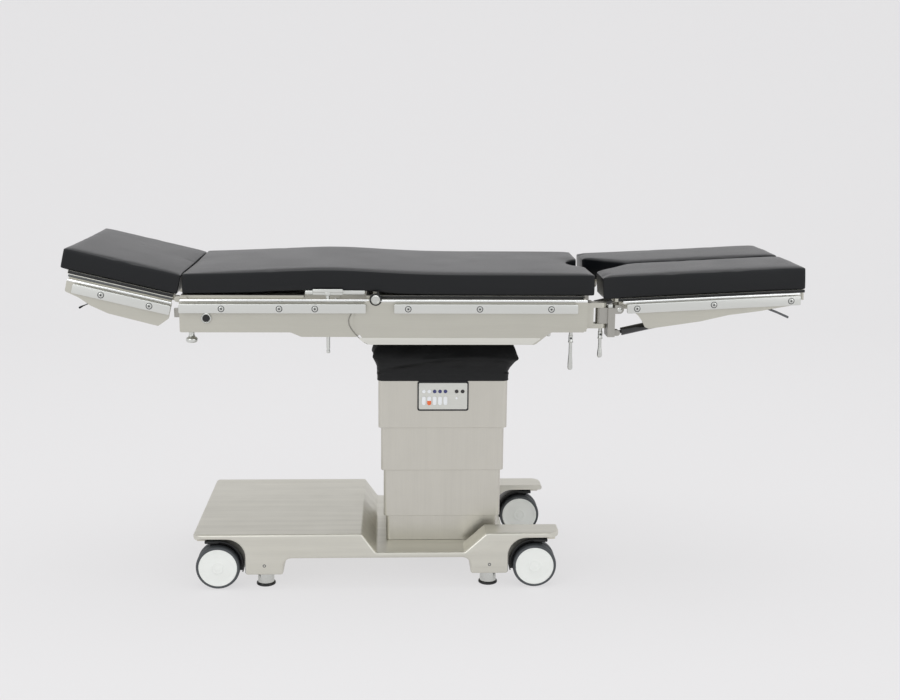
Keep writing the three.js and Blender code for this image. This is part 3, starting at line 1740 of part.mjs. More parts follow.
function clampScrew(x, y, top, bottom, stemLength) {
  const handleTop = top - screwBossHeight;
  return turned(
    [
      [0, bottom],
      [screwHandleRadius - lap, bottom],
      [screwHandleRadius, bottom + screwTaper],
      [screwHandleRadius, handleTop - screwTaper * 6],
      [screwWaistRadius, handleTop - screwTaper],
      [screwWaistRadius, handleTop],
      [screwBossRadius, handleTop],
      [screwBossRadius, top],
      [screwStemRadius, top],
      [screwStemRadius, top + stemLength],
      [0, top + stemLength],
    ],
    x,
    y,
    smallSides,
  );
}

for (const [side, sign] of tableSides) {
  addPiece(`leg_bracket_${side}`, legBracket(sign), paleSteel);
  const leg = new THREE.Group();
  leg.position.set(legHingeX, 0, legHingeZ);
  leg.rotation.y = -THREE.MathUtils.degToRad(legSlopeDegrees);
  table.add(leg);
  addPiece(`leg_frame_${side}`, legFrame(sign), steel, leg);
  addPiece(
    `leg_rail_${side}`,
    accessoryRail([legRailStart, legRailEnd], legRailCentre, legScrewShares, plateFace, sign),
    paleSteel,
    leg,
  );
  addPiece(
    `leg_release_lever_${side}`,
    leverBlade(
      [
        [legLeverPivot, legLeverPivotDrop],
        [legLeverBend, legLeverBendDrop],
        [legLeverTip, legLeverTipDrop],
      ],
      sign * legLeverY,
      legLeverWidth,
      [legLeverPivot, legLeverPivotDrop],
    ),
    paleSteel,
    leg,
  );
  const strut = new THREE.Group();
  strut.position.set(legHingeX + strutPivotRun, 0, legHingeZ + strutPivotDrop);
  strut.rotation.y = -THREE.MathUtils.degToRad(strutSlopeDegrees);
  table.add(strut);
  addPiece(`gas_strut_body_${side}`, strutBody(sign), blackPlastic, strut);
  addPiece(`gas_strut_rod_${side}`, strutRod(sign), paleSteel, strut);
  addPiece(
    `seat_clamp_screw_${side}`,
    clampScrew(seatScrewX, sign * splayY, seatScrewTop, seatScrewBottom, screwStemLength),
    paleSteel,
  );
  addPiece(
    `leg_clamp_screw_${side}`,
    clampScrew(splayX, sign * splayY, legScrewTop, legScrewBottom, screwStemLength / 2),
    paleSteel,
  );
}

// Cushions: a closed form with rounded edges, sides drawn in and a crowned top.
// Each ring is the outline moved inwards, and the rings are joined from bottom to top.
function cushion(outline, bottom, thickness, rise) {
  const dense = [];
  outline.forEach((p, n) => {
    const next = outline[(n + 1) % outline.length];
    const steps = Math.max(1, Math.round(p.distanceTo(next) / padPointPitch));
    for (let s = 0; s < steps; s += 1) dense.push(p.clone().lerp(next, s / steps));
  });
  const count = dense.length;
  const centre = dense.reduce((sum, p) => sum.add(p), new THREE.Vector2()).divideScalar(count);
  const inward = dense.map((p, n) => {
    const along = dense[(n + 1) % count].clone().sub(dense.at(n - 1)).normalize();
    return new THREE.Vector2(-along.y, along.x);
  });
  const rings = [[padEdgeRadius, 0, padBottomRingShare]];
  const corner = padEdgeTurnShares.map((share) => share * quarterTurn);
  for (const turn of corner) {
    rings.push([padEdgeRadius * (1 - Math.sin(turn)), padEdgeRadius * (1 - Math.cos(turn)), 1]);
  }
  for (const share of [1 / 2]) {
    const height = padEdgeRadius + share * (thickness - 2 * padEdgeRadius);
    rings.push([padDrawIn * Math.sin(Math.PI * share), height, 1]);
  }
  for (const turn of corner.reverse()) {
    const height = thickness - padEdgeRadius * (1 - Math.cos(turn));
    rings.push([padEdgeRadius * (1 - Math.sin(turn)), height, 1]);
  }
  for (const share of padCrownRingShares) {
    rings.push([padEdgeRadius, thickness + padCrown * (1 - share * share), share]);
  }
  const points = [];
  for (const [inset, height, share] of rings) {
    dense.forEach((p, n) => {
      const at = p.clone().addScaledVector(inward[n], inset).sub(centre).multiplyScalar(share).add(centre);
      points.push(at.x, at.y, bottom + height + rise(at.x));
    });
  }
  const bottomPole = points.length / 3;
  points.push(centre.x, centre.y, bottom + rise(centre.x));
  points.push(centre.x, centre.y, bottom + thickness + padCrown + rise(centre.x));
  const faces = [];
  for (let n = 0; n < count; n += 1) {
    const after = (n + 1) % count;
    faces.push(bottomPole, after, n);
    const last = (rings.length - 1) * count;
    faces.push(bottomPole + 1, last + n, last + after);
    for (let row = 0; row < rings.length - 1; row += 1) {
      const [a, b] = [row * count + n, row * count + after];
      faces.push(a, b, b + count, a, b + count, a + count);
    }
  }
  const geometry = new THREE.BufferGeometry();
  geometry.setAttribute('position', new THREE.Float32BufferAttribute(points, 3));
  geometry.setIndex(faces);
  return solidFrom(geometry);
}

function padOutline(start, end, half) {
  return roundedOutline([
    [start, -half, padCornerRadius, padCornerSteps],
    [end, -half, padCornerRadius, padCornerSteps],
    [end, half, padCornerRadius, padCornerSteps],
    [start, half, padCornerRadius, padCornerSteps],
  ]);
}

// How far the kidney bridge lifts the mattress at a given x
function mattressRise(x) {
  const up = THREE.MathUtils.smootherstep(x, riseHeadEnd, bridgeStart);
  const down = 1 - THREE.MathUtils.smootherstep(x, bridgeEnd, riseLegEnd);
  return padRise * Math.min(up, down);
}

const flat = () => 0;
const padBottom = boardTop + seatGap;
addPiece(
  'back_cushion',
  cushion(
    padOutline(mattressHeadEdge, backPadLegEdge - seatGap, cushionHalf),
    padBottom,
    cushionThickness - padCrown,
    mattressRise,
  ),
  blackLeather,
);
addPiece(
  'lumbar_cushion',
  cushion(
    padOutline(backPadLegEdge, seatPadHeadEdge - seatGap, cushionHalf),
    padBottom,
    cushionThickness - padCrown,
    mattressRise,
  ),
  blackLeather,
);

function seatPadOutline() {
  const corners = [
    [seatPadHeadEdge, -cushionHalf, padCornerRadius, padCornerSteps],
    [seatPadEnd, -cushionHalf, padCornerRadius, padCornerSteps],
    [seatPadEnd, -notchHalfWidth, notchCornerRadius],
    [seatPadEnd - notchDepth * notchRunShare, -notchHalfWidth * notchWidthShare, notchCornerRadius * 2],
    [seatPadEnd - notchDepth, 0, notchCornerRadius * 3, 4],
    [seatPadEnd - notchDepth * notchRunShare, notchHalfWidth * notchWidthShare, notchCornerRadius * 2],
    [seatPadEnd, notchHalfWidth, notchCornerRadius],
    [seatPadEnd, cushionHalf, padCornerRadius, padCornerSteps],
    [seatPadHeadEdge, cushionHalf, padCornerRadius, padCornerSteps],
  ];
  return roundedOutline(corners);
}

addPiece(
  'seat_cushion',
  cushion(seatPadOutline(), padBottom, cushionThickness - padCrown, mattressRise),
  blackLeather,
);

const headPadBottom = boardTop - headHingeZ + seatGap;
addPiece(
  'head_cushion',
  cushion(
    padOutline(-headPadEnd, -headPadSoftEnd - seatGap, cushionHalf),
    headPadBottom,
    headPadThickness - padCrown,
    flat,
  ),
  blackLeather,
  head,
);
addPiece(
  'head_cushion_end',
  cushion(
    padOutline(-headPadSoftEnd, -headPadStart, cushionHalf),
    headPadBottom,
    headPadThickness - padCrown,
    flat,
  ),
  blackLeather,
  head,
);

const legPadBottom = legBoardBottom + boardThickness + seatGap;
for (const [side, sign] of tableSides) {
  const leg = new THREE.Group();
  leg.position.set(legHingeX, 0, legHingeZ);
  leg.rotation.y = -THREE.MathUtils.degToRad(legSlopeDegrees);
  table.add(leg);
  addPiece(
    `leg_cushion_${side}`,
    cushion(
      legPlan(legPadStart, legPadEnd, cushionHalf, 0, sign),
      legPadBottom,
      legPadThickness - padCrown,
      flat,
    ),
    blackLeather,
    leg,
  );
}

// The origin is the middle of the whole footprint, on the floor
table.updateMatrixWorld(true);
const reach = new THREE.Box3().setFromObject(table, true);
const middle = reach.getCenter(new THREE.Vector3());
table.position.set(-middle.x, -middle.y, -reach.min.z);

export default table;
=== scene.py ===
"""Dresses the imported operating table: steel covers, rails, castors, keypad, boot and cushions.

Sizes are in millimetres from the middle of the column on the floor, as the part gives them, and
become metres in the part's own frame when a mesh is made.
"""

from __future__ import annotations

import json
import logging
import math
from dataclasses import dataclass, field
from enum import Enum
from typing import Any, Callable, Iterable, Sequence

import bmesh
import bpy
import numpy as np
from mathutils import Matrix, Vector

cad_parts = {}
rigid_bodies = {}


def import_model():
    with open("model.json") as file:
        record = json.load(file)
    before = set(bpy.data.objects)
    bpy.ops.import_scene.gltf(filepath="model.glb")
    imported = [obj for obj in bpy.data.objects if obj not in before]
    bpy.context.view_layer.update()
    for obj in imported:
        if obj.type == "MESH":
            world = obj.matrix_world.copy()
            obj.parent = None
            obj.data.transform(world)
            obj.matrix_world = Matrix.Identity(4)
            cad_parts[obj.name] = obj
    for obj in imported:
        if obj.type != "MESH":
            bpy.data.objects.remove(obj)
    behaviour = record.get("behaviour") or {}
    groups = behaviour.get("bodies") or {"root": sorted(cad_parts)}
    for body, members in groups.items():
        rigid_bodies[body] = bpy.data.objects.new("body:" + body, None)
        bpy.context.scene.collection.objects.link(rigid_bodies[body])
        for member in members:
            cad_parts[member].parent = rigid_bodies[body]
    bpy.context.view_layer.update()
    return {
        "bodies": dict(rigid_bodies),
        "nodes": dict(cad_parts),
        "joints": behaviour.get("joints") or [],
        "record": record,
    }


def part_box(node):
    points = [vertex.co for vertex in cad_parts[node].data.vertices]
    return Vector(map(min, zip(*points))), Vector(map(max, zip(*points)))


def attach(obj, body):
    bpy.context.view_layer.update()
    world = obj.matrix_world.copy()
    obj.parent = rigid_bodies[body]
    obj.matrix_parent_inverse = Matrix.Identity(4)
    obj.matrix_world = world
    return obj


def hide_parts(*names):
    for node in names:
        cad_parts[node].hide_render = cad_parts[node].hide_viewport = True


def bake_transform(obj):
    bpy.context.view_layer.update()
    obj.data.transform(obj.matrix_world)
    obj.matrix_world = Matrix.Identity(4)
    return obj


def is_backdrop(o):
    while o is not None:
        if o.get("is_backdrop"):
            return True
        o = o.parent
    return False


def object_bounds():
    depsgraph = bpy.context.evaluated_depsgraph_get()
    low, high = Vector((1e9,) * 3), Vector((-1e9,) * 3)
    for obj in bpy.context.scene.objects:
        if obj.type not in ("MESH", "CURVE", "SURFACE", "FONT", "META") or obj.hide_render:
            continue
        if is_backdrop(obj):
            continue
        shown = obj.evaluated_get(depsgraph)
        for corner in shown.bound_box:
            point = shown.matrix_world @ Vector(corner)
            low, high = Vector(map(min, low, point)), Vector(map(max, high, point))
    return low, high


LOG = logging.getLogger("operating_table")
MM = 0.001
WELD = 2e-6
FULL_TURN = 2 * math.pi
QUARTER_TURN = math.pi / 2
SIDES: tuple[tuple[str, int], ...] = (("near", -1), ("far", 1))
# The Mix node's sockets when it mixes colours.
MIX_FACTOR, MIX_FIRST, MIX_SECOND, MIX_RESULT = 0, 6, 7, 2


class Axis(Enum):
    """The axis that a turned or extruded piece lies along."""

    X = 0
    Y = 1
    Z = 2


class Slot(Enum):
    """The material slots of the part's record."""

    STEEL = "brushed_steel"
    PALE_STEEL = "pale_steel"
    DARK_METAL = "dark_metal"
    LEATHER = "cushion_cover"
    CLOTH = "boot_cloth"
    BLACK_PLASTIC = "black_plastic"
    WHITE_PLASTIC = "white_plastic"


# Shader maths


class Value:
    """A shader socket that adds Math nodes when it is used in an expression."""

    def __init__(self, graph: "Graph", socket: bpy.types.NodeSocket) -> None:
        """Keeps the graph that the socket belongs to."""
        self.graph = graph
        self.socket = socket

    def _math(self, operation: str, first: Any, second: Any) -> "Value":
        """Adds one Math node and returns its result."""
        return self.graph.node("ShaderNodeMath", {"operation": operation}, {0: first, 1: second}).out(0)

    def __add__(self, other: Any) -> "Value":
        """The sum of two values."""
        return self._math("ADD", self, other)

    __radd__ = __add__

    def __sub__(self, other: Any) -> "Value":
        """The difference of two values."""
        return self._math("SUBTRACT", self, other)

    def __rsub__(self, other: Any) -> "Value":
        """A number less this value."""
        return self._math("SUBTRACT", other, self)

    def __mul__(self, other: Any) -> "Value":
        """The product of two values."""
        return self._math("MULTIPLY", self, other)

    __rmul__ = __mul__


class Node:
    """A shader node, with its outputs as values."""

    def __init__(self, graph: "Graph", node: bpy.types.Node) -> None:
        """Keeps the node and its graph."""
        self.graph = graph
        self.node = node

    def out(self, key: int | str) -> Value:
        """One output of the node."""
        return Value(self.graph, self.node.outputs[key])


class Graph:
    """A material's node tree."""

    def __init__(self, name: str) -> None:
        """Starts an empty material.

        Args:
            name: the material's name.
        """
        self.material = bpy.data.materials.new(name)
        self.material.use_nodes = True
        self.tree = self.material.node_tree
        self.tree.nodes.clear()

    def node(self, kind: str, settings: dict[str, Any] | None = None,
             sockets: dict[Any, Any] | None = None) -> Node:
        """Adds one node.

        Args:
            kind: the node's type.
            settings: what is set on the node before its sockets.
            sockets: a value or a link for each named or numbered input.

        Returns:
            The new node.
        """
        made = self.tree.nodes.new(kind)
        for key, setting in (settings or {}).items():
            setattr(made, key, setting)
        for key, given in (sockets or {}).items():
            if isinstance(given, Value):
                self.tree.links.new(given.socket, made.inputs[key])
            else:
                made.inputs[key].default_value = given
        return Node(self, made)

    def place(self, scale: Sequence[float] = (1, 1, 1)) -> Value:
        """Object coordinates, scaled along each axis."""
        sockets = {"Vector": self.node("ShaderNodeTexCoord").out("Object"), "Scale": tuple(scale)}
        return self.node("ShaderNodeMapping", None, sockets).out(0)

    def noise(self, place: Value, scale: float, detail: float = 3.0) -> Value:
        """Noise from 0 to 1 at a scale per metre."""
        return self.node("ShaderNodeTexNoise", None,
                         {"Vector": place, "Scale": scale, "Detail": detail}).out("Fac")

    def blend(self, factor: Value, first: Sequence[float], second: Sequence[float]) -> Value:
        """Mixes two colours by a factor."""
        sockets = {MIX_FACTOR: factor, MIX_FIRST: (*first, 1), MIX_SECOND: (*second, 1)}
        return self.node("ShaderNodeMix", {"data_type": "RGBA"}, sockets).out(MIX_RESULT)

    def bump(self, height: Value, strength: float, distance: float) -> Value:
        """A normal from a height."""
        return self.node("ShaderNodeBump", None,
                         {"Height": height, "Strength": strength, "Distance": distance}).out(0)

    def finish(self, **sockets: Any) -> bpy.types.Material:
        """Ends the tree in a Principled shader.

        Args:
            sockets: the shader's inputs, with spaces in their names written as underscores.

        Returns:
            The finished material.
        """
        named = {key.replace("_", " "): given for key, given in sockets.items()}
        shader = self.node("ShaderNodeBsdfPrincipled", None, named)
        self.node("ShaderNodeOutputMaterial", None, {"Surface": shader.out(0)})
        return self.material


def linear(red: int, green: int, blue: int) -> tuple[float, float, float]:
    """The scene value of a colour that is written as three numbers from 0 to 255.

    Args:
        red: the red level.
        green: the green level.
        blue: the blue level.

    Returns:
        The three channels, each from 0 to 1.
    """
    def one(level: int) -> float:
        """Undoes the display curve for one channel."""
        share = level / 255
        return share / 12.92 if share <= 0.04045 else ((share + 0.055) / 1.055) ** 2.4
    return one(red), one(green), one(blue)


@dataclass(frozen=True)
class BrushedSteel:
    """Stainless steel with fine brush marks and wider streaks along one axis.

    Scales are noise cells per metre, first across the brushing and then along it.
    """

    name: str
    colour: tuple[int, int, int]
    along: Axis = Axis.X
    roughness: float = 0.34
    metallic: float = 1.0
    wave: float = 0.12
    streak: float = 0.2
    mark_scales: tuple[float, float] = (520.0, 9.0)
    streak_scales: tuple[float, float] = (34.0, 2.2)
    worn_share: float = 0.84

    def stretched(self, scales: tuple[float, float]) -> list[float]:
        """A scale for each axis: the second of the two on the brushing's axis, the first elsewhere."""
        return [scales[1] if axis is self.along else scales[0] for axis in Axis]

    def build(self) -> bpy.types.Material:
        """Brush marks and streaks are noise stretched along the axis; soft noise bends the surface.

        Returns:
            The material.
        """
        graph = Graph(self.name)
        marks = graph.noise(graph.place(self.stretched(self.mark_scales)), 1.0, 4.0)
        bands = graph.noise(graph.place(self.stretched(self.streak_scales)), 1.0, 2.0)
        broad = graph.noise(graph.place(), 5.0, 2.0)
        stain = graph.noise(graph.place(), 17.0, 4.0)
        base = linear(*self.colour)
        worn = tuple(level * self.worn_share for level in base)
        colour = graph.blend(marks * 0.35 + stain * 0.3 + (bands - 0.5) * (self.streak * 3), base, worn)
        rough = marks * 0.14 + stain * 0.08 + bands * (self.streak * 0.3) + (self.roughness - 0.13)
        height = marks * 0.05 + broad * self.wave
        return graph.finish(Base_Color=colour, Metallic=self.metallic, Roughness=rough,
                            Normal=graph.bump(height, 0.35, 0.004))


@dataclass(frozen=True)
class CoatedLeather:
    """The coated cloth of the cushions: black, fine grained, with a dull sheen."""

    name: str
    colour: tuple[int, int, int] = (11, 13, 16)
    roughness: float = 0.3
    grain_scale: float = 900.0
    light_share: float = 1.35

    def build(self) -> bpy.types.Material:
        """The grain is small cells over fine noise; broad noise varies the colour and the gloss.

        Returns:
            The material.
        """
        graph = Graph(self.name)
        place = graph.place()
        cells = graph.node("ShaderNodeTexVoronoi", {"feature": "DISTANCE_TO_EDGE"},
                           {"Vector": place, "Scale": self.grain_scale}).out("Distance")
        fine = graph.noise(place, 1600.0, 2.0)
        broad = graph.noise(place, 7.0, 3.0)
        base = linear(*self.colour)
        light = tuple(level * self.light_share for level in base)
        colour = graph.blend(broad * 0.8, base, light)
        rough = broad * 0.1 + fine * 0.06 + (self.roughness - 0.08)
        height = cells * 0.9 + fine * 0.3 + broad * 2.0
        return graph.finish(Base_Color=colour, Roughness=rough, Specular_IOR_Level=0.33,
                            Normal=graph.bump(height, 0.22, 0.0006))


@dataclass(frozen=True)
class BootCloth:
    """The coated black cloth of the column boot, with a close weave.

    It grows duller between two heights, in metres, where it is drawn in under the table top, and darker
    there with painted shadow from the table top.
    """

    name: str
    colour: tuple[int, int, int] = (8, 9, 10)
    weave_scale: float = 420.0
    light_share: float = 2.4
    shadow_dull_from: float = 0.640
    shadow_dull_to: float = 0.675

    def build(self) -> bpy.types.Material:
        """Two crossed waves make the weave, and soft noise makes lighter slack patches that fade out
        upwards as painted shadow.

        Returns:
            The material.
        """
        graph = Graph(self.name)
        place = graph.place()
        weave = {"Vector": place, "Scale": self.weave_scale, "Distortion": 0.6}
        across = graph.node("ShaderNodeTexWave", {"bands_direction": "X"}, weave).out("Fac")
        up = graph.node("ShaderNodeTexWave", {"bands_direction": "Z"}, weave).out("Fac")
        slack = graph.noise(place, 14.0, 3.0)
        base = linear(*self.colour)
        light = tuple(part * self.light_share for part in base)
        # Painted shadow: above the rim the lighter slack patches fade out, so the cloth under the table
        # top is darker; the same mask dulls it.
        level = graph.node("ShaderNodeSeparateXYZ", None, {"Vector": place}).out("Z")
        shade = graph.node("ShaderNodeMapRange", None, {"Value": level, "From Min": self.shadow_dull_from,
                                                        "From Max": self.shadow_dull_to}).out("Result")
        colour = graph.blend(slack * 0.9 * (1 - shade), base, light)
        rough = shade * 0.4 + (slack * 0.15 + 0.42)
        height = across * up * 0.25 + slack * 1.6
        return graph.finish(Base_Color=colour, Roughness=rough, Specular_IOR_Level=0.3,
                            Normal=graph.bump(height, 0.3, 0.002))


@dataclass(frozen=True)
class MouldedPlastic:
    """Moulded plastic or rubber with a fine texture."""

    name: str
    colour: tuple[int, int, int]
    roughness: float = 0.4
    grain: float = 0.08
    scale: float = 700.0
    coat: float = 0.0
    worn_share: float = 0.88

    def build(self) -> bpy.types.Material:
        """Fine noise makes the grain, and broad noise makes faint handling marks.

        Returns:
            The material.
        """
        graph = Graph(self.name)
        place = graph.place()
        fine = graph.noise(place, self.scale, 3.0)
        broad = graph.noise(place, 20.0, 3.0)
        base = linear(*self.colour)
        worn = tuple(level * self.worn_share for level in base)
        colour = graph.blend(broad * 0.6, base, worn)
        rough = fine * 0.08 + broad * 0.1 + (self.roughness - 0.09)
        return graph.finish(Base_Color=colour, Roughness=rough, Coat_Weight=self.coat,
                            Normal=graph.bump(fine, self.grain, 0.001))


class Finishes:
    """Every finish of the table, built once."""

    def __init__(self) -> None:
        """Builds the materials."""
        self.deck = BrushedSteel("deck steel", (221, 219, 209), Axis.X, 0.36, wave=0.3,
                                 streak=0.4).build()
        self.column = BrushedSteel("column steel", (212, 209, 200), Axis.Z, 0.38, streak=0.16).build()
        self.plate = BrushedSteel("side plate steel", (202, 200, 190), Axis.X, 0.42).build()
        self.rail = BrushedSteel("rail steel", (222, 223, 219), Axis.X, 0.34, wave=0.02).build()
        self.bright = BrushedSteel("bright steel", (214, 215, 211), Axis.Z, 0.22, wave=0.02).build()
        # Painted highlight: the rolled bead is a near-white copy of the plate steel, so it reads as the
        # lit top edge.
        self.bead = BrushedSteel("bead steel with painted highlight", (246, 247, 246), Axis.X, 0.2, wave=0.0,
                                 streak=0.0).build()
        self.hem = BrushedSteel("pale plate hem", (226, 225, 218), Axis.X, 0.5, wave=0.02).build()
        self.dark = BrushedSteel("dark metal", (110, 112, 114), Axis.Z, 0.5).build()
        self.hinge = BrushedSteel("hinge steel", (176, 174, 168), Axis.Z, 0.45).build()
        # Painted shade for the gaps round screw heads, their sockets and the clamp screws' cross holes.
        self.hollow_shade = MouldedPlastic("painted shade round and in screws", (62, 64, 66), 0.6, 0.5, 240.0).build()
        self.leather = CoatedLeather("cushion leather").build()
        self.cloth = BootCloth("boot cloth").build()
        self.black = MouldedPlastic("black plastic", (22, 23, 24), 0.36).build()
        self.strut = MouldedPlastic("strut lacquer", (14, 15, 16), 0.2, 0.02, coat=0.6).build()
        self.disc = MouldedPlastic("wheel disc plastic", (242, 244, 240), 0.3).build()
        self.tyre = MouldedPlastic("tyre rubber", (74, 77, 80), 0.62, 0.3).build()
        self.face = BrushedSteel("keypad face", (214, 214, 208), Axis.X, 0.5, 0.4, wave=0.0).build()
        self.pale_key = MouldedPlastic("pale keys", (236, 238, 240), 0.35).build()
        self.blue_key = MouldedPlastic("blue keys", (58, 62, 112), 0.35).build()
        self.dark_key = MouldedPlastic("dark keys", (46, 44, 44), 0.35).build()
        self.orange_key = MouldedPlastic("orange key", (232, 108, 52), 0.35).build()
        self.beige = MouldedPlastic("beige bracket paint", (214, 209, 196), 0.45).build()
        # Painted shade of the step where the seat plate meets the back plate.
        self.seam = MouldedPlastic("painted step shadow line", (138, 136, 128), 0.5).build()


# Forms


@dataclass
class Form:
    """Points in millimetres and faces of one or more closed surfaces."""

    points: np.ndarray
    faces: list[tuple[int, ...]]

    def __add__(self, other: "Form") -> "Form":
        """Two forms in one.

        Args:
            other: the second form.

        Returns:
            Both, with the second one's faces counted on from the first one's points.
        """
        shift = len(self.points)
        moved = [tuple(corner + shift for corner in face) for face in other.faces]
        return Form(np.vstack([self.points, other.points]), self.faces + moved)

    def mapped(self, change: Callable[[np.ndarray], np.ndarray]) -> "Form":
        """The form with its points changed as one array."""
        return Form(change(self.points), self.faces)

    def placed(self, place: Sequence[float], sign: int = 1) -> "Form":
        """The form at a place, mirrored across its own middle plane in y where the sign is -1."""
        return self.mapped(lambda points: points * np.array([1, sign, 1]) + np.array(place))


def merged(forms: Iterable[Form]) -> Form:
    """Joins forms.

    Args:
        forms: one or more forms.

    Returns:
        All of them in one.
    """
    whole, *rest = list(forms)
    for form in rest:
        whole = whole + form
    return whole


def ring_faces(rows: int, columns: int, closed_rows: bool = False) -> list[tuple[int, ...]]:
    """Quads between rings: point (row, column) is row * columns + column, and columns close.

    Args:
        rows: the number of rings.
        columns: the points of each ring.
        closed_rows: whether the last ring joins the first.

    Returns:
        The corners of each quad.
    """
    steps = np.arange(rows if closed_rows else rows - 1)
    row, column = np.meshgrid(steps, np.arange(columns), indexing="ij")
    after = (column + 1) % columns
    below = (row + 1) % rows
    quads = np.stack([row * columns + column, row * columns + after,
                      below * columns + after, below * columns + column], -1).reshape(-1, 4)
    return [tuple(quad) for quad in quads.tolist()]


def grid_faces(rows: int, columns: int, shift: int = 0) -> list[tuple[int, ...]]:
    """Quads of an open grid: point (row, column) is row * columns + column, plus a shift.

    Args:
        rows: the rows of points.
        columns: the points of each row.
        shift: the number of the grid's first point.

    Returns:
        The corners of each quad.
    """
    row, column = np.meshgrid(np.arange(rows - 1), np.arange(columns - 1), indexing="ij")
    corner = row * columns + column + shift
    quads = np.stack([corner, corner + 1, corner + columns + 1, corner + columns], -1).reshape(-1, 4)
    return [tuple(quad) for quad in quads.tolist()]


def tube(rings: np.ndarray, caps: bool = True, closed_rows: bool = False) -> Form:
    """A surface through rings of points.

    Args:
        rings: an array of (rows, columns, 3).
        caps: whether the first and last rings are filled.
        closed_rows: whether the last ring joins the first.

    Returns:
        The closed form.
    """
    rows, columns, _ = rings.shape
    faces = ring_faces(rows, columns, closed_rows)
    if caps and not closed_rows:
        faces.append(tuple(range(columns - 1, -1, -1)))
        faces.append(tuple(range((rows - 1) * columns, rows * columns)))
    return Form(rings.reshape(-1, 3), faces)


def turned(profile: Sequence[Sequence[float]], centre: Sequence[float], axis: Axis = Axis.Z,
           sides: int = 48) -> Form:
    """A turned form: each (radius, height) of the profile goes once round the axis.

    Args:
        profile: radius and height pairs, from the first end to the last.
        centre: the point of the axis where height is zero.
        axis: the axis of the turn.
        sides: the points of each ring.

    Returns:
        The closed form.
    """
    table = np.array(profile, float)
    angle = np.linspace(0, FULL_TURN, sides, endpoint=False)
    radius, height = table[:, :1], table[:, 1:]
    first = radius * np.cos(angle)
    second = radius * np.sin(angle)
    along = np.broadcast_to(height, first.shape)
    order = {Axis.X: (along, first, second), Axis.Y: (second, along, first),
             Axis.Z: (first, second, along)}
    rings = np.stack(order[axis], -1) + np.array(centre, float)
    return tube(rings)


def rounded(corners: Sequence[Sequence[float]], steps: int = 6) -> np.ndarray:
    """An outline with rounded corners.

    Each corner (a, b, radius) becomes an arc that touches both of its sides. The arc's centre lies on
    the corner's bisector, and a radius that its sides have no room for is made smaller.

    Args:
        corners: each corner with its radius, or without one where it stays sharp.
        steps: the steps of each arc.

    Returns:
        The outline's points.
    """
    table = np.array([(*corner, 0.0)[:3] for corner in corners], float)
    outline: list[np.ndarray] = []
    for here, before, after in zip(table, np.roll(table, 1, 0), np.roll(table, -1, 0)):
        back, on = before[:2] - here[:2], after[:2] - here[:2]
        room = min(np.linalg.norm(back), np.linalg.norm(on)) * 0.499
        back, on = back / np.linalg.norm(back), on / np.linalg.norm(on)
        half = math.acos(float(np.clip(back @ on, -1, 1))) / 2
        run = min(here[2] / math.tan(half), room) if here[2] > 0 else 0.0
        if run <= 0 or half > 1.56:
            outline.append(here[None, :2])
            continue
        bend = run * math.tan(half)
        middle = here[:2] + (back + on) / np.linalg.norm(back + on) * bend / math.sin(half)
        start, end = here[:2] + back * run - middle, here[:2] + on * run - middle
        sweep = math.atan2(start[0] * end[1] - start[1] * end[0], start @ end)
        turn = np.linspace(0, sweep, steps + 1)
        arc = np.stack([start[0] * np.cos(turn) - start[1] * np.sin(turn),
                        start[0] * np.sin(turn) + start[1] * np.cos(turn)], -1)
        outline.append(arc + middle)
    return np.vstack(outline)


def rectangle(low: Sequence[float], high: Sequence[float], radius: float, steps: int) -> np.ndarray:
    """A rectangle with rounded corners, from its lowest and highest corner."""
    return rounded([(low[0], low[1], radius), (high[0], low[1], radius), (high[0], high[1], radius),
                    (low[0], high[1], radius)], steps)


def moved_in(outline: np.ndarray, distance: float) -> np.ndarray:
    """An outline moved inwards, each point along the bisector of its two sides.

    Args:
        outline: its points.
        distance: how far each side moves.

    Returns:
        The smaller outline.
    """
    turn = 1.0 if area(outline) > 0 else -1.0
    back = outline - np.roll(outline, 1, 0)
    on = np.roll(outline, -1, 0) - outline
    back /= np.linalg.norm(back, axis=1, keepdims=True)
    on /= np.linalg.norm(on, axis=1, keepdims=True)
    first = np.stack([-back[:, 1], back[:, 0]], -1)
    second = np.stack([-on[:, 1], on[:, 0]], -1)
    both = first + second
    reach = np.maximum((both * first).sum(1, keepdims=True), 0.5)
    return outline + turn * distance * both / reach


def area(outline: np.ndarray) -> float:
    """The signed area of an outline: half the sum of the cross products of its sides."""
    after = np.roll(outline, -1, 0)
    return float((outline[:, 0] * after[:, 1] - outline[:, 1] * after[:, 0]).sum() / 2)


def slab(outline: np.ndarray, low: float, high: float, axis: Axis = Axis.Y, edge: float = 0.0,
         steps: int = 4) -> Form:
    """An outline carried along an axis, with rounded edges at both ends.

    Args:
        outline: points in (x, z) for Axis.Y, (x, y) for Axis.Z and (y, z) for Axis.X.
        low: where it starts on the axis.
        high: where it ends.
        axis: the axis that it is carried along.
        edge: the radius of the rounded edges.
        steps: the steps of each rounded edge.

    Returns:
        The closed form.
    """
    turn = np.linspace(0, QUARTER_TURN, steps + 1) if edge > 0 else np.array([QUARTER_TURN])
    inset = edge * (1 - np.sin(turn))
    depth = edge * (1 - np.cos(turn))
    stations = [(low + down, into) for down, into in zip(depth, inset)]
    stations += [(high - down, into) for down, into in zip(depth[::-1], inset[::-1])]
    rings = []
    for along, into in stations:
        flat = moved_in(outline, into) if into > 0 else outline
        level = np.full(len(flat), along)
        columns = {Axis.Y: (flat[:, 0], level, flat[:, 1]), Axis.Z: (flat[:, 0], flat[:, 1], level),
                   Axis.X: (level, flat[:, 0], flat[:, 1])}
        rings.append(np.stack(columns[axis], -1))
    return tube(np.array(rings))


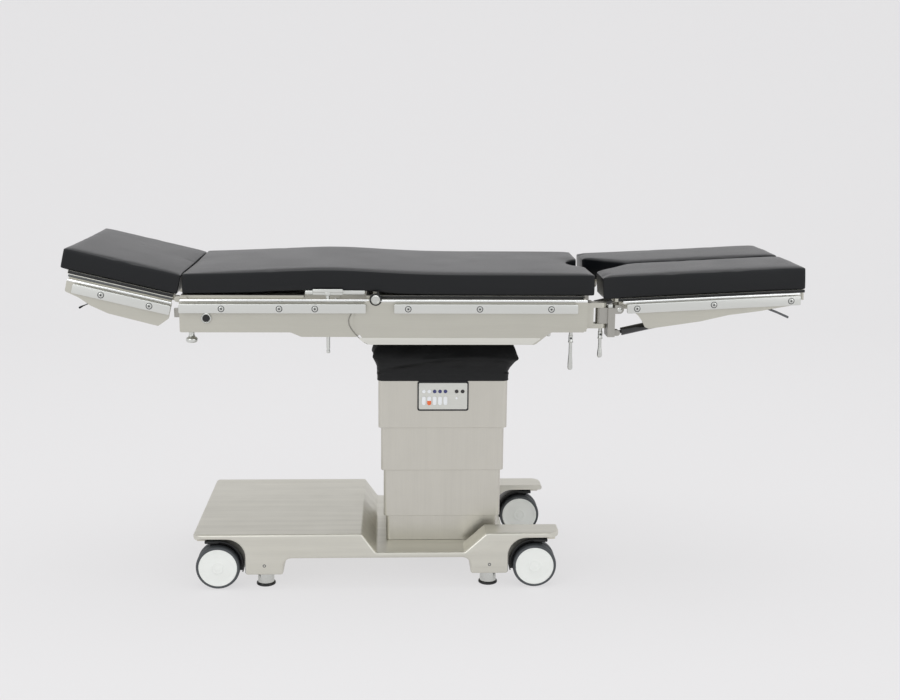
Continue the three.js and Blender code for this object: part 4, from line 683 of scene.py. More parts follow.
def box(low: Sequence[float], high: Sequence[float], edge: float = 0.6) -> Form:
    """A block with rounded edges, as a rounded rectangle carried up Z."""
    return slab(rectangle(low, high, edge, 3), low[2], high[2], Axis.Z, edge, 3)


def span(sign: int, inner: float, outer: float) -> list[float]:
    """Two distances from the table's middle plane on one side, as the lower and the higher y."""
    return sorted((sign * inner, sign * outer))


def side_box(sign: int, x: Sequence[float], y: Sequence[float], z: Sequence[float],
             edge: float) -> Form:
    """A block on one side, from its ranges along x, out from the middle plane and up z."""
    low, high = span(sign, *y)
    return box((x[0], low, z[0]), (x[1], high, z[1]), edge)


def rod(start: float, end: float, radius: float, centre: Sequence[float], axis: Axis,
        edge: float = 0.6, sides: int = 32) -> Form:
    """A round bar with rounded ends along an axis.

    Args:
        start: where it starts on the axis.
        end: where it ends.
        radius: its radius.
        centre: a point of its middle line, whose place on the axis doesn't count.
        axis: the axis that it lies along.
        edge: the radius of its rounded ends.
        sides: the points of each ring.

    Returns:
        The closed form.
    """
    turn = np.linspace(0, QUARTER_TURN, 4)
    arc = [(radius - edge * (1 - math.sin(step)), edge * (1 - math.cos(step))) for step in turn]
    first = [(wide, start + deep) for wide, deep in arc]
    last = [(wide, end - deep) for wide, deep in arc[::-1]]
    place = list(centre)
    place[axis.value] = 0.0
    return turned(first + last, place, axis, sides)


def ring(profile: Sequence[Sequence[float]], sides: int = 72) -> Form:
    """A ring about Y: (radius, y) pairs that close on themselves, carried once round.

    Args:
        profile: the pairs, in order round the ring's section.
        sides: the sections round the ring.

    Returns:
        The closed form.
    """
    outline = np.array(profile, float)
    angle = np.linspace(0, FULL_TURN, sides, endpoint=False)
    level = np.broadcast_to(outline[:, 1:], (len(outline), sides))
    rings = np.stack([outline[:, :1] * np.sin(angle), level, outline[:, :1] * np.cos(angle)], -1)
    return tube(rings, False, True)


@dataclass(frozen=True)
class Slope:
    """A section's own frame, turned about a hinge that lies along Y."""

    x: float
    z: float
    degrees: float

    def out(self, points: np.ndarray) -> np.ndarray:
        """Own points to table points: x' = x cos + z sin, z' = z cos - x sin, then the hinge is added.

        Args:
            points: points in the section's frame.

        Returns:
            The same points in the table's frame.
        """
        turn = math.radians(self.degrees)
        along = points[:, 0] * math.cos(turn) + points[:, 2] * math.sin(turn)
        up = points[:, 2] * math.cos(turn) - points[:, 0] * math.sin(turn)
        return np.stack([along + self.x, points[:, 1], up + self.z], -1)


LEVEL = Slope(0, 0, 0)
HEAD_SLOPE = Slope(-724.8, 834, 13.2)
LEG_SLOPE = Slope(479.6, 808, -3)
STRUT_SLOPE = Slope(478.6, 739, -12.7)


class Bench:
    """Makes Blender objects from forms, in the part's frame."""

    def __init__(self) -> None:
        """Finds the column's middle, from which all places are measured."""
        low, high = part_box("upper_column_cover")
        self.shift = np.array([(low.x + high.x) / 2, (low.y + high.y) / 2, 0.0])

    def out(self, points: np.ndarray) -> np.ndarray:
        """Millimetres from the column to metres in the part's frame."""
        return points * MM + self.shift

    def make(self, name: str, form: Form, material: bpy.types.Material, body: str | None,
             slot: Slot, replaces: Sequence[str] = (), smooth: float = 40.0,
             slope: Slope = LEVEL) -> bpy.types.Object:
        """Makes one piece.

        Args:
            name: the piece's name.
            form: its points and faces.
            material: its finish.
            body: the CAD body that it rides on, or None where it is placed later.
            slot: the record's material slot; not used.
            replaces: the CAD nodes that it stands for.
            smooth: the angle in degrees below which faces are shaded as one.
            slope: the frame that the form is given in.

        Returns:
            The new object.
        """
        mesh = bpy.data.meshes.new(name)
        points = self.out(slope.out(form.points))
        mesh.from_pydata(points.tolist(), [], form.faces)
        made = bmesh.new()
        made.from_mesh(mesh)
        bmesh.ops.remove_doubles(made, verts=made.verts, dist=WELD)
        bmesh.ops.recalc_face_normals(made, faces=made.faces)
        made.to_mesh(mesh)
        made.free()
        mesh.materials.append(material)
        piece = bpy.data.objects.new(name, mesh)
        bpy.context.scene.collection.objects.link(piece)
        self.shade(piece, smooth)
        if body:
            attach(piece, body)
        if replaces:
            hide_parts(*replaces)
        LOG.info("%s: %d faces", name, len(mesh.polygons))
        return piece

    @staticmethod
    def shade(piece: bpy.types.Object, degrees: float) -> None:
        """Shades faces smooth, with edges over the angle kept sharp.

        Args:
            piece: the object.
            degrees: the angle.
        """
        mesh = piece.data
        mesh.shade_smooth()
        mesh.set_sharp_from_angle(angle=math.radians(degrees))


def dress(frame: dict[str, Any], material: bpy.types.Material, *nodes: str) -> None:
    """Gives CAD nodes a finish.

    Args:
        frame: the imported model.
        material: the finish.
        nodes: the nodes' names.
    """
    for node in nodes:
        slots = frame["nodes"][node].data.materials
        slots.clear()
        slots.append(material)


# The base


@dataclass
class Base:
    """The base cover, its castors and its brake feet.

    Heights are from the floor. A radius that rounds the side outline is named for its corner, and
    deck_step and arm_step are where the low deck's two slopes start and end along x.
    """

    bench: Bench
    finishes: Finishes
    head_end: float = -703.0
    leg_end: float = 332.0
    deck: float = 165.0
    low_deck: float = 110.0
    lip: float = 15.0
    skirt: float = 94.0
    block_bottom: float = 46.0
    skirt_radius: float = 26.0
    block_radius: float = 8.0
    step_radius: float = 9.0
    sharp: float = 0.4
    deck_step: tuple[float, float] = (-229.5, -189.5)
    arm_step: tuple[float, float] = (61.0, 122.0)
    head_block: tuple[float, float] = (-558.0, -451.0)
    leg_block: tuple[float, float] = (79.0, 186.0)
    half: float = 270.0
    arm_inner: float = 190.0
    arch: float = 84.0
    well: float = 62.0
    edge: float = 6.5
    plan_radius: float = 24.0
    leg_plan_radius: float = 44.0
    wheel_z: float = 63.5
    wheel_y: float = 228.0
    wheel_shift: float = 18.15
    castors: tuple[tuple[str, float, float], ...] = (("head", -636.0, -653.0), ("leg", 263.0, 280.0))
    feet: tuple[tuple[str, float], ...] = (("head", -504.5), ("leg", 132.5))
    foot_y: float = 215.0
    screws: tuple[tuple[str, float], ...] = (("head", -503.8), ("leg", 132.7))
    screw_z: float = 73.5
    fender_radius: float = 72.6
    fender_growth: float = 6.4
    fender_half: float = 27.6
    fender_wall: float = 3.4
    plate_drop: float = 16.0
    plate_reach: float = 6.0
    crown_half: float = 20.0
    crown_z: tuple[float, float] = (131.2, 140.0)
    lip_x: tuple[float, float] = (17.0, 40.0)
    lip_half: float = 30.0
    lip_z: tuple[float, float] = (143.6, 149.8)

    def side(self, arms: bool, well: float = 0.0) -> np.ndarray:
        """The side outline in (x, z).

        Args:
            arms: whether it has the arms, or the low deck runs on to the end of the leg block.
            well: where not zero, the outline ends this far before the column's axis.

        Returns:
            The outline's points.
        """
        (head_start, head_stop), (leg_start, leg_stop) = self.head_block, self.leg_block
        lip = self.deck - self.lip
        corners = [
            (self.head_end, self.deck, self.edge), (self.head_end, lip, self.edge),
            (head_start, lip, self.arch), (head_start, self.block_bottom, self.block_radius),
            (head_stop, self.block_bottom, self.block_radius),
            (head_stop, self.skirt, self.skirt_radius),
        ]
        foot = [(leg_start, self.skirt, self.skirt_radius),
                (leg_start, self.block_bottom, self.block_radius),
                (leg_stop, self.block_bottom, self.block_radius)]
        if well:
            corners += [(-well, self.skirt, self.sharp), (-well, self.low_deck, self.sharp)]
        elif arms:
            corners += foot + [(leg_stop, lip, self.arch), (self.leg_end, lip, self.edge),
                               (self.leg_end, self.deck, self.edge),
                               (self.arm_step[1], self.deck, self.step_radius),
                               (self.arm_step[0], self.low_deck, self.step_radius)]
        else:
            corners += foot + [(leg_stop, self.low_deck, self.edge)]
        corners += [(self.deck_step[1], self.low_deck, self.step_radius),
                    (self.deck_step[0], self.deck, self.step_radius)]
        return rounded(corners, 8)

    def plan_clip(self, form: Form) -> Form:
        """Rounds the plan corners: near the outer sides the ends are drawn in along a quarter circle.

        Args:
            form: a block of the cover.

        Returns:
            The form with its x held inside both quarter circles.
        """
        def change(points: np.ndarray) -> np.ndarray:
            """Limits x by how far y lies inside the corner's radius.

            Args:
                points: the form's points.

            Returns:
                The same points, drawn in.
            """
            out = points.copy()
            draws = []
            for radius in (self.plan_radius, self.leg_plan_radius):
                past = np.clip(np.abs(points[:, 1]) - (self.half - radius), 0, radius)
                draws.append(radius - np.sqrt(np.maximum(radius ** 2 - past ** 2, 0)))
            out[:, 0] = np.clip(points[:, 0], self.head_end + draws[0], self.leg_end - draws[1])
            return out
        return form.mapped(change)

    def side_block(self, sign: int) -> Form:
        """One outer block from the arm's inner face to the outer side, its outer edge rounded.

        The side outline is carried out along y, and over the last stretch it moves in by the edge
        radius along a quarter circle.

        Args:
            sign: the side's sign along y.

        Returns:
            The closed form.
        """
        outline = self.side(True)
        turn = np.linspace(0, QUARTER_TURN, 7)
        depth = self.edge * (1 - np.cos(turn))
        inset = self.edge * (1 - np.sin(turn))
        body = np.linspace(self.arm_inner, self.half - self.leg_plan_radius, 3)
        corner = np.linspace(self.half - self.leg_plan_radius, self.half - self.edge, 10)[1:-1]
        stations = [(y, 0.0) for y in [*body, *corner]]
        stations += [(self.half - down, into) for down, into in zip(depth[::-1], inset[::-1])]
        rings = []
        for y, into in stations:
            flat = moved_in(outline, into) if into > 0 else outline
            rings.append(np.stack([flat[:, 0], np.full(len(flat), sign * y), flat[:, 1]], -1))
        return self.plan_clip(tube(np.array(rings)))

    def cover(self) -> None:
        """The steel cover: a middle block with the low deck, and an outer block on each side.

        The middle block is in four parts round a square well, in which the lift cylinder stands.
        """
        well, apart = self.well, self.well + 0.02
        parts = [slab(self.side(False), *sides, Axis.Y)
                 for sides in ((-self.arm_inner, -apart), (apart, self.arm_inner))]
        head_part = self.side(False, well)
        start, stop = self.leg_block
        leg_part = rounded([(well, self.skirt, self.sharp), (start, self.skirt, self.skirt_radius),
                            (start, self.block_bottom, self.block_radius),
                            (stop, self.block_bottom, self.block_radius),
                            (stop, self.low_deck, self.edge), (well, self.low_deck, self.sharp)], 8)
        parts += [slab(outline, -well, well, Axis.Y) for outline in (head_part, leg_part)]
        form = merged([*parts, self.side_block(-1), self.side_block(1)])
        self.bench.make("base_steel_cover", form, self.finishes.deck, "root", Slot.STEEL,
                        ["base_cover", "base_frame"], 28)
        head = [(0, -1), (4.6, -1), (4.6, 0.2), (3.8, 0.5), (2.6, 0.3), (2.0, -0.3), (0, -0.4)]
        screw = turned(head, (0, 0, 0), Axis.Y)
        for end, x in self.screws:
            for name, sign in SIDES:
                place = (x, sign * self.half, self.screw_z)
                self.bench.make(f"base_screw_{end}_{name}", screw.placed(place, sign),
                                self.finishes.dark, "root", Slot.STEEL)

    def wheel(self, end: str, x: float, name: str, sign: int) -> None:
        """Two wheels on one axle: each has a dished disc with a hub, and a tyre round it.

        Args:
            end: the head or the leg end.
            x: the wheels' centre.
            name: the near or the far side.
            sign: the side's sign along y.
        """
        base = np.array([x, sign * self.wheel_y, self.wheel_z])
        disc = [(0, 13.0), (6, 12.9), (9, 12.2), (13, 12.0), (15.5, 12.8), (17.5, 12.0), (24, 11.4),
                (40, 11.7), (48, 12.2), (51, 13.2), (53.4, 13.2), (54.4, 12.2), (54.4, -12.6),
                (0, -12.6)]
        tyre = [(54.2, 12.0), (55.6, 13.4), (58.2, 13.8), (60.6, 12.4), (61.9, 9.4), (62.5, 5),
                (62.5, -5), (61.9, -9.4), (60.6, -12.2), (58.2, -13.6), (55, -13.6), (54.2, -12.6)]
        body = f"wheel_{end}_{name}"
        discs, tyres = [], []
        for way in (1, -1):
            centre = base + np.array([0, way * self.wheel_shift, 0])
            discs.append(turned(disc, (0, 0, 0), Axis.Y, 72).placed(centre, way))
            tyres.append(ring(tyre).placed(centre, way))
        axle = rod(base[1] - 6, base[1] + 6, 8, base, Axis.Y)
        self.bench.make(f"wheel_discs_{end}_{name}", merged([*discs, axle]), self.finishes.disc, body,
                        Slot.WHITE_PLASTIC, [f"castor_wheel_{end}_{name}"], 32)
        self.bench.make(f"wheel_tyres_{end}_{name}", merged(tyres), self.finishes.tyre, body,
                        Slot.BLACK_PLASTIC, (), 50)

    def housing(self, end: str, x: float, stem: float, name: str, sign: int) -> None:
        """A castor hood and its mount lip, which stays on the base.

        The hood is a plate between the wheels, a fender over them on the arch's side, a crown, a
        collar and a swivel pin, all black, and the black fender paints the shade under the arch. The
        plate is cut below and outside by holding its points at or inside the cuts. The fender's outer
        radius grows up to sixty degrees above the axle, which follows the arch and leaves the castor
        room to swivel.

        Args:
            end: the head or the leg end.
            x: the wheels' centre.
            stem: the swivel axis.
            name: the near or the far side.
            sign: the side's sign along y.
        """
        y = sign * self.wheel_y
        centre = np.array([x, y, self.wheel_z])
        arch_way = 1 if end == "head" else -1
        low, high = np.full(3, -np.inf), np.full(3, np.inf)
        low[2] = self.wheel_z - self.plate_drop
        if arch_way > 0:
            low[0] = stem - self.plate_reach
        else:
            high[0] = stem + self.plate_reach
        hoop = [(8.6, -3.6), (9, -4), (71.2, -4), (72, -3.2), (72, 3.2), (71.2, 4), (9, 4), (8.6, 3.6)]
        plate = ring(hoop, 96).mapped(lambda p: np.minimum(np.maximum(p + centre, low), high))
        section = rectangle((-self.fender_wall, -self.fender_half), (0, self.fender_half), 1.4, 3)
        turn = np.radians(np.linspace(-10, 96, 40))[:, None]
        growth = self.fender_growth * np.clip(np.degrees(turn) / 60, 0, 1)
        radius = self.fender_radius + growth + section[None, :, 0]
        across = np.broadcast_to(section[None, :, 1], radius.shape)
        rings = np.stack([radius * np.cos(turn) * arch_way, across, radius * np.sin(turn)], -1)
        fender = tube(rings + centre)
        half = self.crown_half
        crown = box((stem - half, y - half, self.crown_z[0]),
                    (stem + half, y + half, self.crown_z[1]), 2.5)
        collar = rod(138, 152.4, 15, (stem, y, 0), Axis.Z, 1.0)
        pin = rod(150, 160, 9.8, (stem, y, 0), Axis.Z, 1.0)
        low_x, high_x = sorted(stem - arch_way * reach for reach in self.lip_x)
        lip = box((low_x, y - self.lip_half, self.lip_z[0]),
                  (high_x, y + self.lip_half, self.lip_z[1]), 2.4)
        self.bench.make(f"castor_mount_lip_{end}_{name}", lip, self.finishes.beige, "root", Slot.STEEL)
        # Painted shade: the black fender under the arch fills the shaded region there.
        hood = merged([plate, fender, crown, collar, pin])
        self.bench.make(f"castor_hood_{end}_{name}", hood, self.finishes.black, f"castor_{end}_{name}",
                        Slot.BLACK_PLASTIC, [f"castor_housing_{end}_{name}"])

    def foot(self, end: str, x: float, name: str, sign: int) -> None:
        """A brake foot: a bright plunger in a rubber pad with a bevelled foot.

        Args:
            end: the head or the leg end.
            x: the foot's middle line.
            name: the near or the far side.
            sign: the side's sign along y.
        """
        centre = (x, sign * self.foot_y, 0)
        body = f"foot_{end}_{name}"
        plunger = turned([(0, 8.2), (22.6, 8.2), (23.4, 9), (23.4, 83), (22.6, 84), (0, 84)], centre)
        pad = turned([(0, 0), (24.5, 0), (27, 1.5), (27.5, 3.2), (27, 6.2), (25, 8), (23.2, 8.4),
                      (0, 8.4)], centre)
        self.bench.make(f"foot_plunger_{end}_{name}", plunger, self.finishes.bright, body,
                        Slot.PALE_STEEL, [f"brake_foot_{end}_{name}"])
        self.bench.make(f"foot_pad_{end}_{name}", pad, self.finishes.black, body, Slot.BLACK_PLASTIC)

    def build(self) -> None:
        """Builds the cover, then each castor and foot."""
        self.cover()
        for name, sign in SIDES:
            for end, x, stem in self.castors:
                self.wheel(end, x, name, sign)
                self.housing(end, x, stem, name, sign)
            for end, x in self.feet:
                self.foot(end, x, name, sign)


# The column


@dataclass
class Column:
    """The telescoping covers, the boot over them and the control panel.

    Each of the parts is a cover's name, the CAD node that it stands for, its body, its half width,
    and its lowest and highest z. The boot's shape is how far it stands out past its half width at
    each height, and its hems are each a depth and a height.
    """

    bench: Bench
    finishes: Finishes
    corner: float = 12.0
    wall: float = 2.0
    rim: float = 0.6
    parts: tuple[tuple[str, str, str, float, float, float], ...] = (
        ("foot_cover_steel", "column_foot_cover", "root", 161, 110.3, 261),
        ("lower_cover_steel", "lower_column_cover", "lower_column", 168, 185.4, 400),
        ("middle_cover_steel", "middle_column_cover", "middle_column", 175.5, 324.6, 527),
        ("upper_cover_steel", "upper_column_cover", "upper_column", 183, 451.6, 610))
    panel_half: float = 72.5
    panel_top: float = 588.3
    panel_height: float = 86.0
    panel_y: float = -183.3
    frame_depth: float = 4.6
    face_depth: float = 0.9
    first_key: float = -54.5
    key_pitch: float = 15.3
    round_row: float = 29.0
    pill_row: float = 56.0
    lamp_row: float = 49.0
    lock_keys: tuple[float, float] = (38.3, 55.3)
    boot_half: float = 183.4
    boot_wall: float = 2.2
    boot_low: float = 588.6
    boot_high: float = 746.6
    boot_rim: float = 612.0
    boot_hems: tuple[tuple[float, float], ...] = ((1.2, 606.5), (0.9, 590.0))
    boot_shape: tuple[tuple[float, float], ...] = (
        (588, 0), (606, 0.6), (612, 1.2), (626, 5.5), (640, 13), (656, 21), (670, 18), (684, 12),
        (704, 2), (725, -12), (747, -21))

    @staticmethod
    def square(half: float, radius: float, steps: int = 8) -> np.ndarray:
        """A rounded square in (x, y)."""
        return rectangle((-half, -half), (half, half), radius, steps)

    def cover(self, name: str, node: str, body: str, half: float, low: float, high: float) -> None:
        """One cover: a wall that goes up outside, over the rim and down inside.

        Args:
            name: the piece's name.
            node: the CAD node that it stands for.
            body: the CAD body that it rides on.
            half: half its width.
            low: its lowest z.
            high: its highest z.
        """
        rim, deep = self.rim, self.wall - self.rim
        outer = self.square(half, self.corner)
        inner = self.square(half - self.wall, self.corner - self.wall)
        steps = [(outer, low + rim), (outer, high - rim), (moved_in(outer, rim), high),
                 (moved_in(outer, deep), high), (inner, high - rim), (inner, low + rim),
                 (moved_in(outer, deep), low), (moved_in(outer, rim), low)]
        rings = np.array([np.column_stack([flat, np.full(len(flat), z)]) for flat, z in steps])
        self.bench.make(name, tube(rings, False, True), self.finishes.column, body, Slot.STEEL,
                        [node])

    def boot(self) -> None:
        """The boot: a cloth wall that bulges over the column's rim and is drawn in under the table top.

        Each point lies on a rounded square whose half width follows the height. Low waves that grow
        with the height, a slanting crease on the panel side, two hems and a lean along x are added
        along the outward way. Below the rim the inner wall stays flat against the column.
        """
        shares = np.linspace(0, 1, 60)
        z = self.boot_low + shares * (self.boot_high - self.boot_low)
        shape = np.array(self.boot_shape, float)
        half = self.boot_half + np.interp(z, shape[:, 0], shape[:, 1])
        outline = self.square(1.0, 0.1, 10)
        side = np.linalg.norm(np.roll(outline, -1, 0) - outline, axis=1)
        run = np.concatenate([[0], np.cumsum(side)])
        at = np.linspace(0, run[-1], 320, endpoint=False)
        closed = np.vstack([outline, outline[:1]])
        unit = np.stack([np.interp(at, run, closed[:, 0]), np.interp(at, run, closed[:, 1])], -1)
        rings = unit[None] * half[:, None, None]
        level = np.broadcast_to(z[:, None], rings.shape[:2])
        slack = np.clip((level - 610) / 30, 0, 1)
        turn = np.arctan2(unit[:, 1], unit[:, 0])[None]
        waves = 2.4 * np.sin(turn * 9 + level * 0.05) + 1.6 * np.sin(turn * 17 - level * 0.09 + 1.3)
        crease_z = 636 + 22 * np.sin((rings[..., 0] + 150) / 120) + 0.06 * rings[..., 0]
        front = np.clip(-unit[None, :, 1] * 2 - 1, 0, 1)
        crease = 5.0 * front * np.exp(-((level - crease_z) / 7.0) ** 2)
        hem = sum(depth * np.exp(-((level - height) / 1.6) ** 2) for depth, height in self.boot_hems)
        along = unit[None, :, 0]
        lean = np.clip((level - self.boot_rim) / 40, 0, 1) * 4.5 * along * np.abs(along)
        push = slack * (waves * 0.8 + crease) + hem + lean
        below = level[..., None] < self.boot_rim
        grown = rings + unit[None] * push[..., None]
        outer = np.concatenate([grown, level[..., None]], -1)
        inner_way = unit[None] * (half[:, None, None] + (push - self.boot_wall)[..., None])
        inner = np.concatenate([inner_way, level[..., None]], -1)
        inner[..., :2] = np.where(below, unit[None] * self.boot_half, inner[..., :2])
        outer[..., :2] += unit[None] * self.boot_wall * below
        loops = np.concatenate([outer, inner[::-1]])
        piece = self.bench.make("column_boot_cloth", tube(loops, False, True), self.finishes.cloth,
                                None, Slot.CLOTH, ["column_boot"], 60)
        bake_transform(piece)

    def panel(self) -> None:
        """The control panel: a black frame, a pale face, two rows of keys, two lock keys and a lamp."""
        middle = self.panel_top - self.panel_height / 2
        high = self.panel_height / 2

        def plate(half_x: float, half_z: float, radius: float) -> np.ndarray:
            """A rounded rectangle round the panel's middle."""
            return rectangle((-half_x, middle - half_z), (half_x, middle + half_z), radius, 6)

        back, front = self.panel_y, self.panel_y - self.frame_depth
        frame = slab(plate(self.panel_half, high, 6), front, back, Axis.Y, 1.4)
        self.bench.make("panel_frame", frame, self.finishes.black, "upper_column", Slot.BLACK_PLASTIC,
                        ["control_panel"])
        face = slab(plate(self.panel_half - 4, high - 5, 4), front - self.face_depth, front + 0.6,
                    Axis.Y, 0.3)
        self.bench.make("panel_face", face, self.finishes.face, "upper_column", Slot.PALE_STEEL)
        front -= self.face_depth
        round_z, pill_z = self.panel_top - self.round_row, self.panel_top - self.pill_row
        looks = [self.finishes.pale_key] * 2 + [self.finishes.blue_key] * 3
        for count, material in enumerate(looks):
            x = self.first_key + count * self.key_pitch
            key = turned([(0, 0.5), (4.7, 0.5), (5.1, 0), (5.1, -1.0), (4.6, -1.5), (0, -1.8)],
                         (x, front, round_z), Axis.Y, 32)
            self.bench.make(f"round_key_{count}", key, material, "upper_column", Slot.BLACK_PLASTIC)
            pill = rectangle((x - 5.4, pill_z - 12.5), (x + 5.4, pill_z + 12.5), 5.3, 8)
            self.bench.make(f"pill_key_{count}", slab(pill, front - 1.4, front + 0.4, Axis.Y, 0.7),
                            self.finishes.pale_key, "upper_column", Slot.BLACK_PLASTIC)
            if count == 1:
                lower = rounded([(x - 5.6, pill_z - 12.7, 5.4), (x + 5.6, pill_z - 12.7, 5.4),
                                 (x + 5.6, pill_z, 1.0), (x - 5.6, pill_z, 1.0)], 8)
                self.bench.make("pill_key_orange", slab(lower, front - 1.7, front, Axis.Y, 0.6),
                                self.finishes.orange_key, "upper_column", Slot.BLACK_PLASTIC)
        for count, x in enumerate(self.lock_keys):
            key = turned([(0, 0.5), (4.9, 0.5), (5.3, 0), (5.3, -1.0), (4.6, -1.6), (0, -1.6)],
                         (x, front, round_z), Axis.Y, 32)
            self.bench.make(f"lock_key_{count}", key, self.finishes.dark_key, "upper_column",
                            Slot.BLACK_PLASTIC)
        place = (self.lock_keys[0], front, self.panel_top - self.lamp_row)
        lamp = turned([(0, 0.5), (3, 0.5), (3, -0.4), (0, -0.9)], place, Axis.Y, 24)
        self.bench.make("panel_lamp", lamp, self.finishes.pale_key, "upper_column", Slot.BLACK_PLASTIC)

    def build(self) -> None:
        """Builds the covers from the foot up, then the boot and the panel."""
        for part in self.parts:
            self.cover(*part)
        self.boot()
        self.panel()


# The table top


@dataclass
class Rail:
    """One accessory rail in its section's frame.

    It runs from start to end at the height of its centre, with its screws at those places along it.
    The face is the outer face of its side plate, where its spacers start.
    """

    start: float
    end: float
    centre: float
    screws: tuple[float, ...]
    face: float
    slope: Slope = LEVEL


@dataclass
class TableTop:
    """Side rails, beads, painted shadow strips under the cushions, screws with painted shade round
    and in them, levers, bracket parts, struts and the kidney bridge.

    Each of the clamps is its section and what handle asks for after the sign. The kidney bars, the
    stop and the leaf are ranges along x, out from the middle plane and up z, as side_box takes them.
    """

    bench: Bench
    finishes: Finishes
    rail_face: float = 300.0
    rail_thickness: float = 10.0
    rail_half: float = 12.5
    rails: dict[str, Rail] = field(default_factory=lambda: {
        "seat": Rail(-139, 361.5, 813, (-100.6, 93.4, 287.9), 283),
        "back": Rail(-717, -215, 813, (-602.7, -447.9, -352.1), 278.5),
        "head": Rail(-272, -8, -29.5, (-64, -194), 283, HEAD_SLOPE),
        "leg": Rail(16, 494, 5, (43, 254, 467), 283, LEG_SLOPE),
    })
    board_face: tuple[float, float] = (261.4, 263.6)
    board_line: tuple[float, float] = (261.4, 263.2)
    bead_radius: float = 4.0
    strut_y: float = 240.0
    clamp_y: float = 250.0
    clamps: tuple[tuple[str, float, float, float, float], ...] = (
        ("seat", 349.5, 734, 635, 26), ("leg", 431, 745, 670, 13))
    pivot: tuple[float, float, float] = (-188.7, 287.5, 836.5)
    socket: tuple[float, float, float] = (-645.8, -276.0, 784.0)
    insert_depth: float = 4.5
    blade_half: float = 3.2
    kidney_plate: tuple[tuple[float, float, float], ...] = ((-381, -262, 845), (-217, 262, 858))
    kidney_bars: tuple[tuple[tuple[float, float], ...], ...] = (
        ((-359.5, -277.5), (266.6, 274), (853, 863)), ((-325.5, -311.5), (266.6, 274), (845, 855)),
        ((-359.5, -277.5), (240, 271), (846, 857.5)))
    kidney_rod: tuple[float, float] = (-318.5, 268.4)
    knob_place: tuple[float, float, float] = (-692, -240, 0)
    bolt_y: float = 270.0
    stop: tuple[tuple[float, float], ...] = ((448.5, 461), (252, 268), (811.5, 822))
    leaf: tuple[tuple[float, float], ...] = ((-731.6, -716.5), (270.5, 278.2), (786, 811))
    hem_face: tuple[float, float] = (281.5, 283.7)
    shadow_cord_y: float = 281.2
    shadow_cord_radius: float = 1.2

    @staticmethod
    def body(section: str, name: str) -> str:
        """The CAD body of a section, of which the leg section has one on each side."""
        return f"leg_{name}" if section == "leg" else section

    def screw(self, x: float, z: float, sign: int) -> Form:
        """A socket head: a low dome with a deep hollow in its middle.

        Args:
            x: its middle along the rail.
            z: its middle up the rail.
            sign: the side's sign along y.

        Returns:
            The closed form.
        """
        profile = [(0, -1), (7.2, -1), (7.2, 0.2), (6.6, 1.1), (5.2, 1.5), (2.9, 1.6), (2.5, 1.0),
                   (2.3, 0.4), (0, 0.4)]
        return turned(profile, (0, 0, 0), Axis.Y, 32).placed((x, sign * self.rail_face, z), sign)

    def rail(self, section: str, name: str, sign: int) -> None:
        """A rail with rounded edges, its spacers, its screws, and dark seats and sockets as painted
        shade.

        Args:
            section: the section that carries it.
            name: the near or the far side.
            sign: the side's sign along y.
        """
        rail, face, half = self.rails[section], self.rail_face, self.rail_half
        outline = rectangle((rail.start, rail.centre - half), (rail.end, rail.centre + half), 3.5, 5)
        forms = [slab(outline, *span(sign, face - self.rail_thickness, face), Axis.Y, 1.6)]
        for x in rail.screws:
            forms.append(rod(*span(sign, rail.face + 0.3, face - 5), 7, (x, 0, rail.centre), Axis.Y))
        body = self.body(section, name)
        self.bench.make(f"{section}_side_rail_{name}", merged(forms), self.finishes.rail, body,
                        Slot.PALE_STEEL, [f"{section}_rail_{name}"], 35, rail.slope)
        heads = merged(self.screw(x, rail.centre, sign) for x in rail.screws)
        self.bench.make(f"{section}_rail_screws_{name}", heads, self.finishes.bright, body,
                        Slot.PALE_STEEL, (), 30, rail.slope)
        # Painted shade: a dark disc behind each head shows as a shadowed gap round it, and a small dark
        # rod fills its socket.
        seat, socket = span(sign, face - 1, face + 0.25), span(sign, face - 0.5, face + 0.75)
        dark = [rod(*seat, 8.9, (x, 0, rail.centre), Axis.Y, 0.2) for x in rail.screws]
        dark += [rod(*socket, 2.1, (x, 0, rail.centre), Axis.Y, 0.1) for x in rail.screws]
        self.bench.make(f"{section}_rail_screw_seats_{name}", merged(dark), self.finishes.hollow_shade, body,
                        Slot.DARK_METAL, (), 30, rail.slope)

    def beads(self) -> None:
        """A bright rolled bead along the top edge of every side plate, its near white a painted
        highlight.
        """
        runs = {
            "seat": (-181, 389, 832.4, 281, LEVEL), "back": (-716, -205, 832.4, 278.4, LEVEL),
            "head": (-291, -10, -12.4, 281, HEAD_SLOPE), "leg": (8, 497, 20.6, 281, LEG_SLOPE),
        }
        for name, sign in SIDES:
            for section, (start, end, z, y, slope) in runs.items():
                bead = rod(start, end, self.bead_radius, (0, sign * y, z), Axis.X, 1.4, 24)
                self.bench.make(f"{section}_plate_bead_{name}", bead, self.finishes.bead,
                                self.body(section, name), Slot.STEEL, (), 50, slope)

    def trims(self) -> None:
        """Painted shadow strips under the cushions, and the head board's band and line."""
        runs = {
            "seat": (-181, 383.6, 835.8, 843.6, LEVEL), "head": (-297, -12, 1.6, 9.6, HEAD_SLOPE),
            "leg": (-2, 516, 20.8, 28.8, LEG_SLOPE),
        }
        for name, sign in SIDES:
            for section, (start, end, low, high, slope) in runs.items():
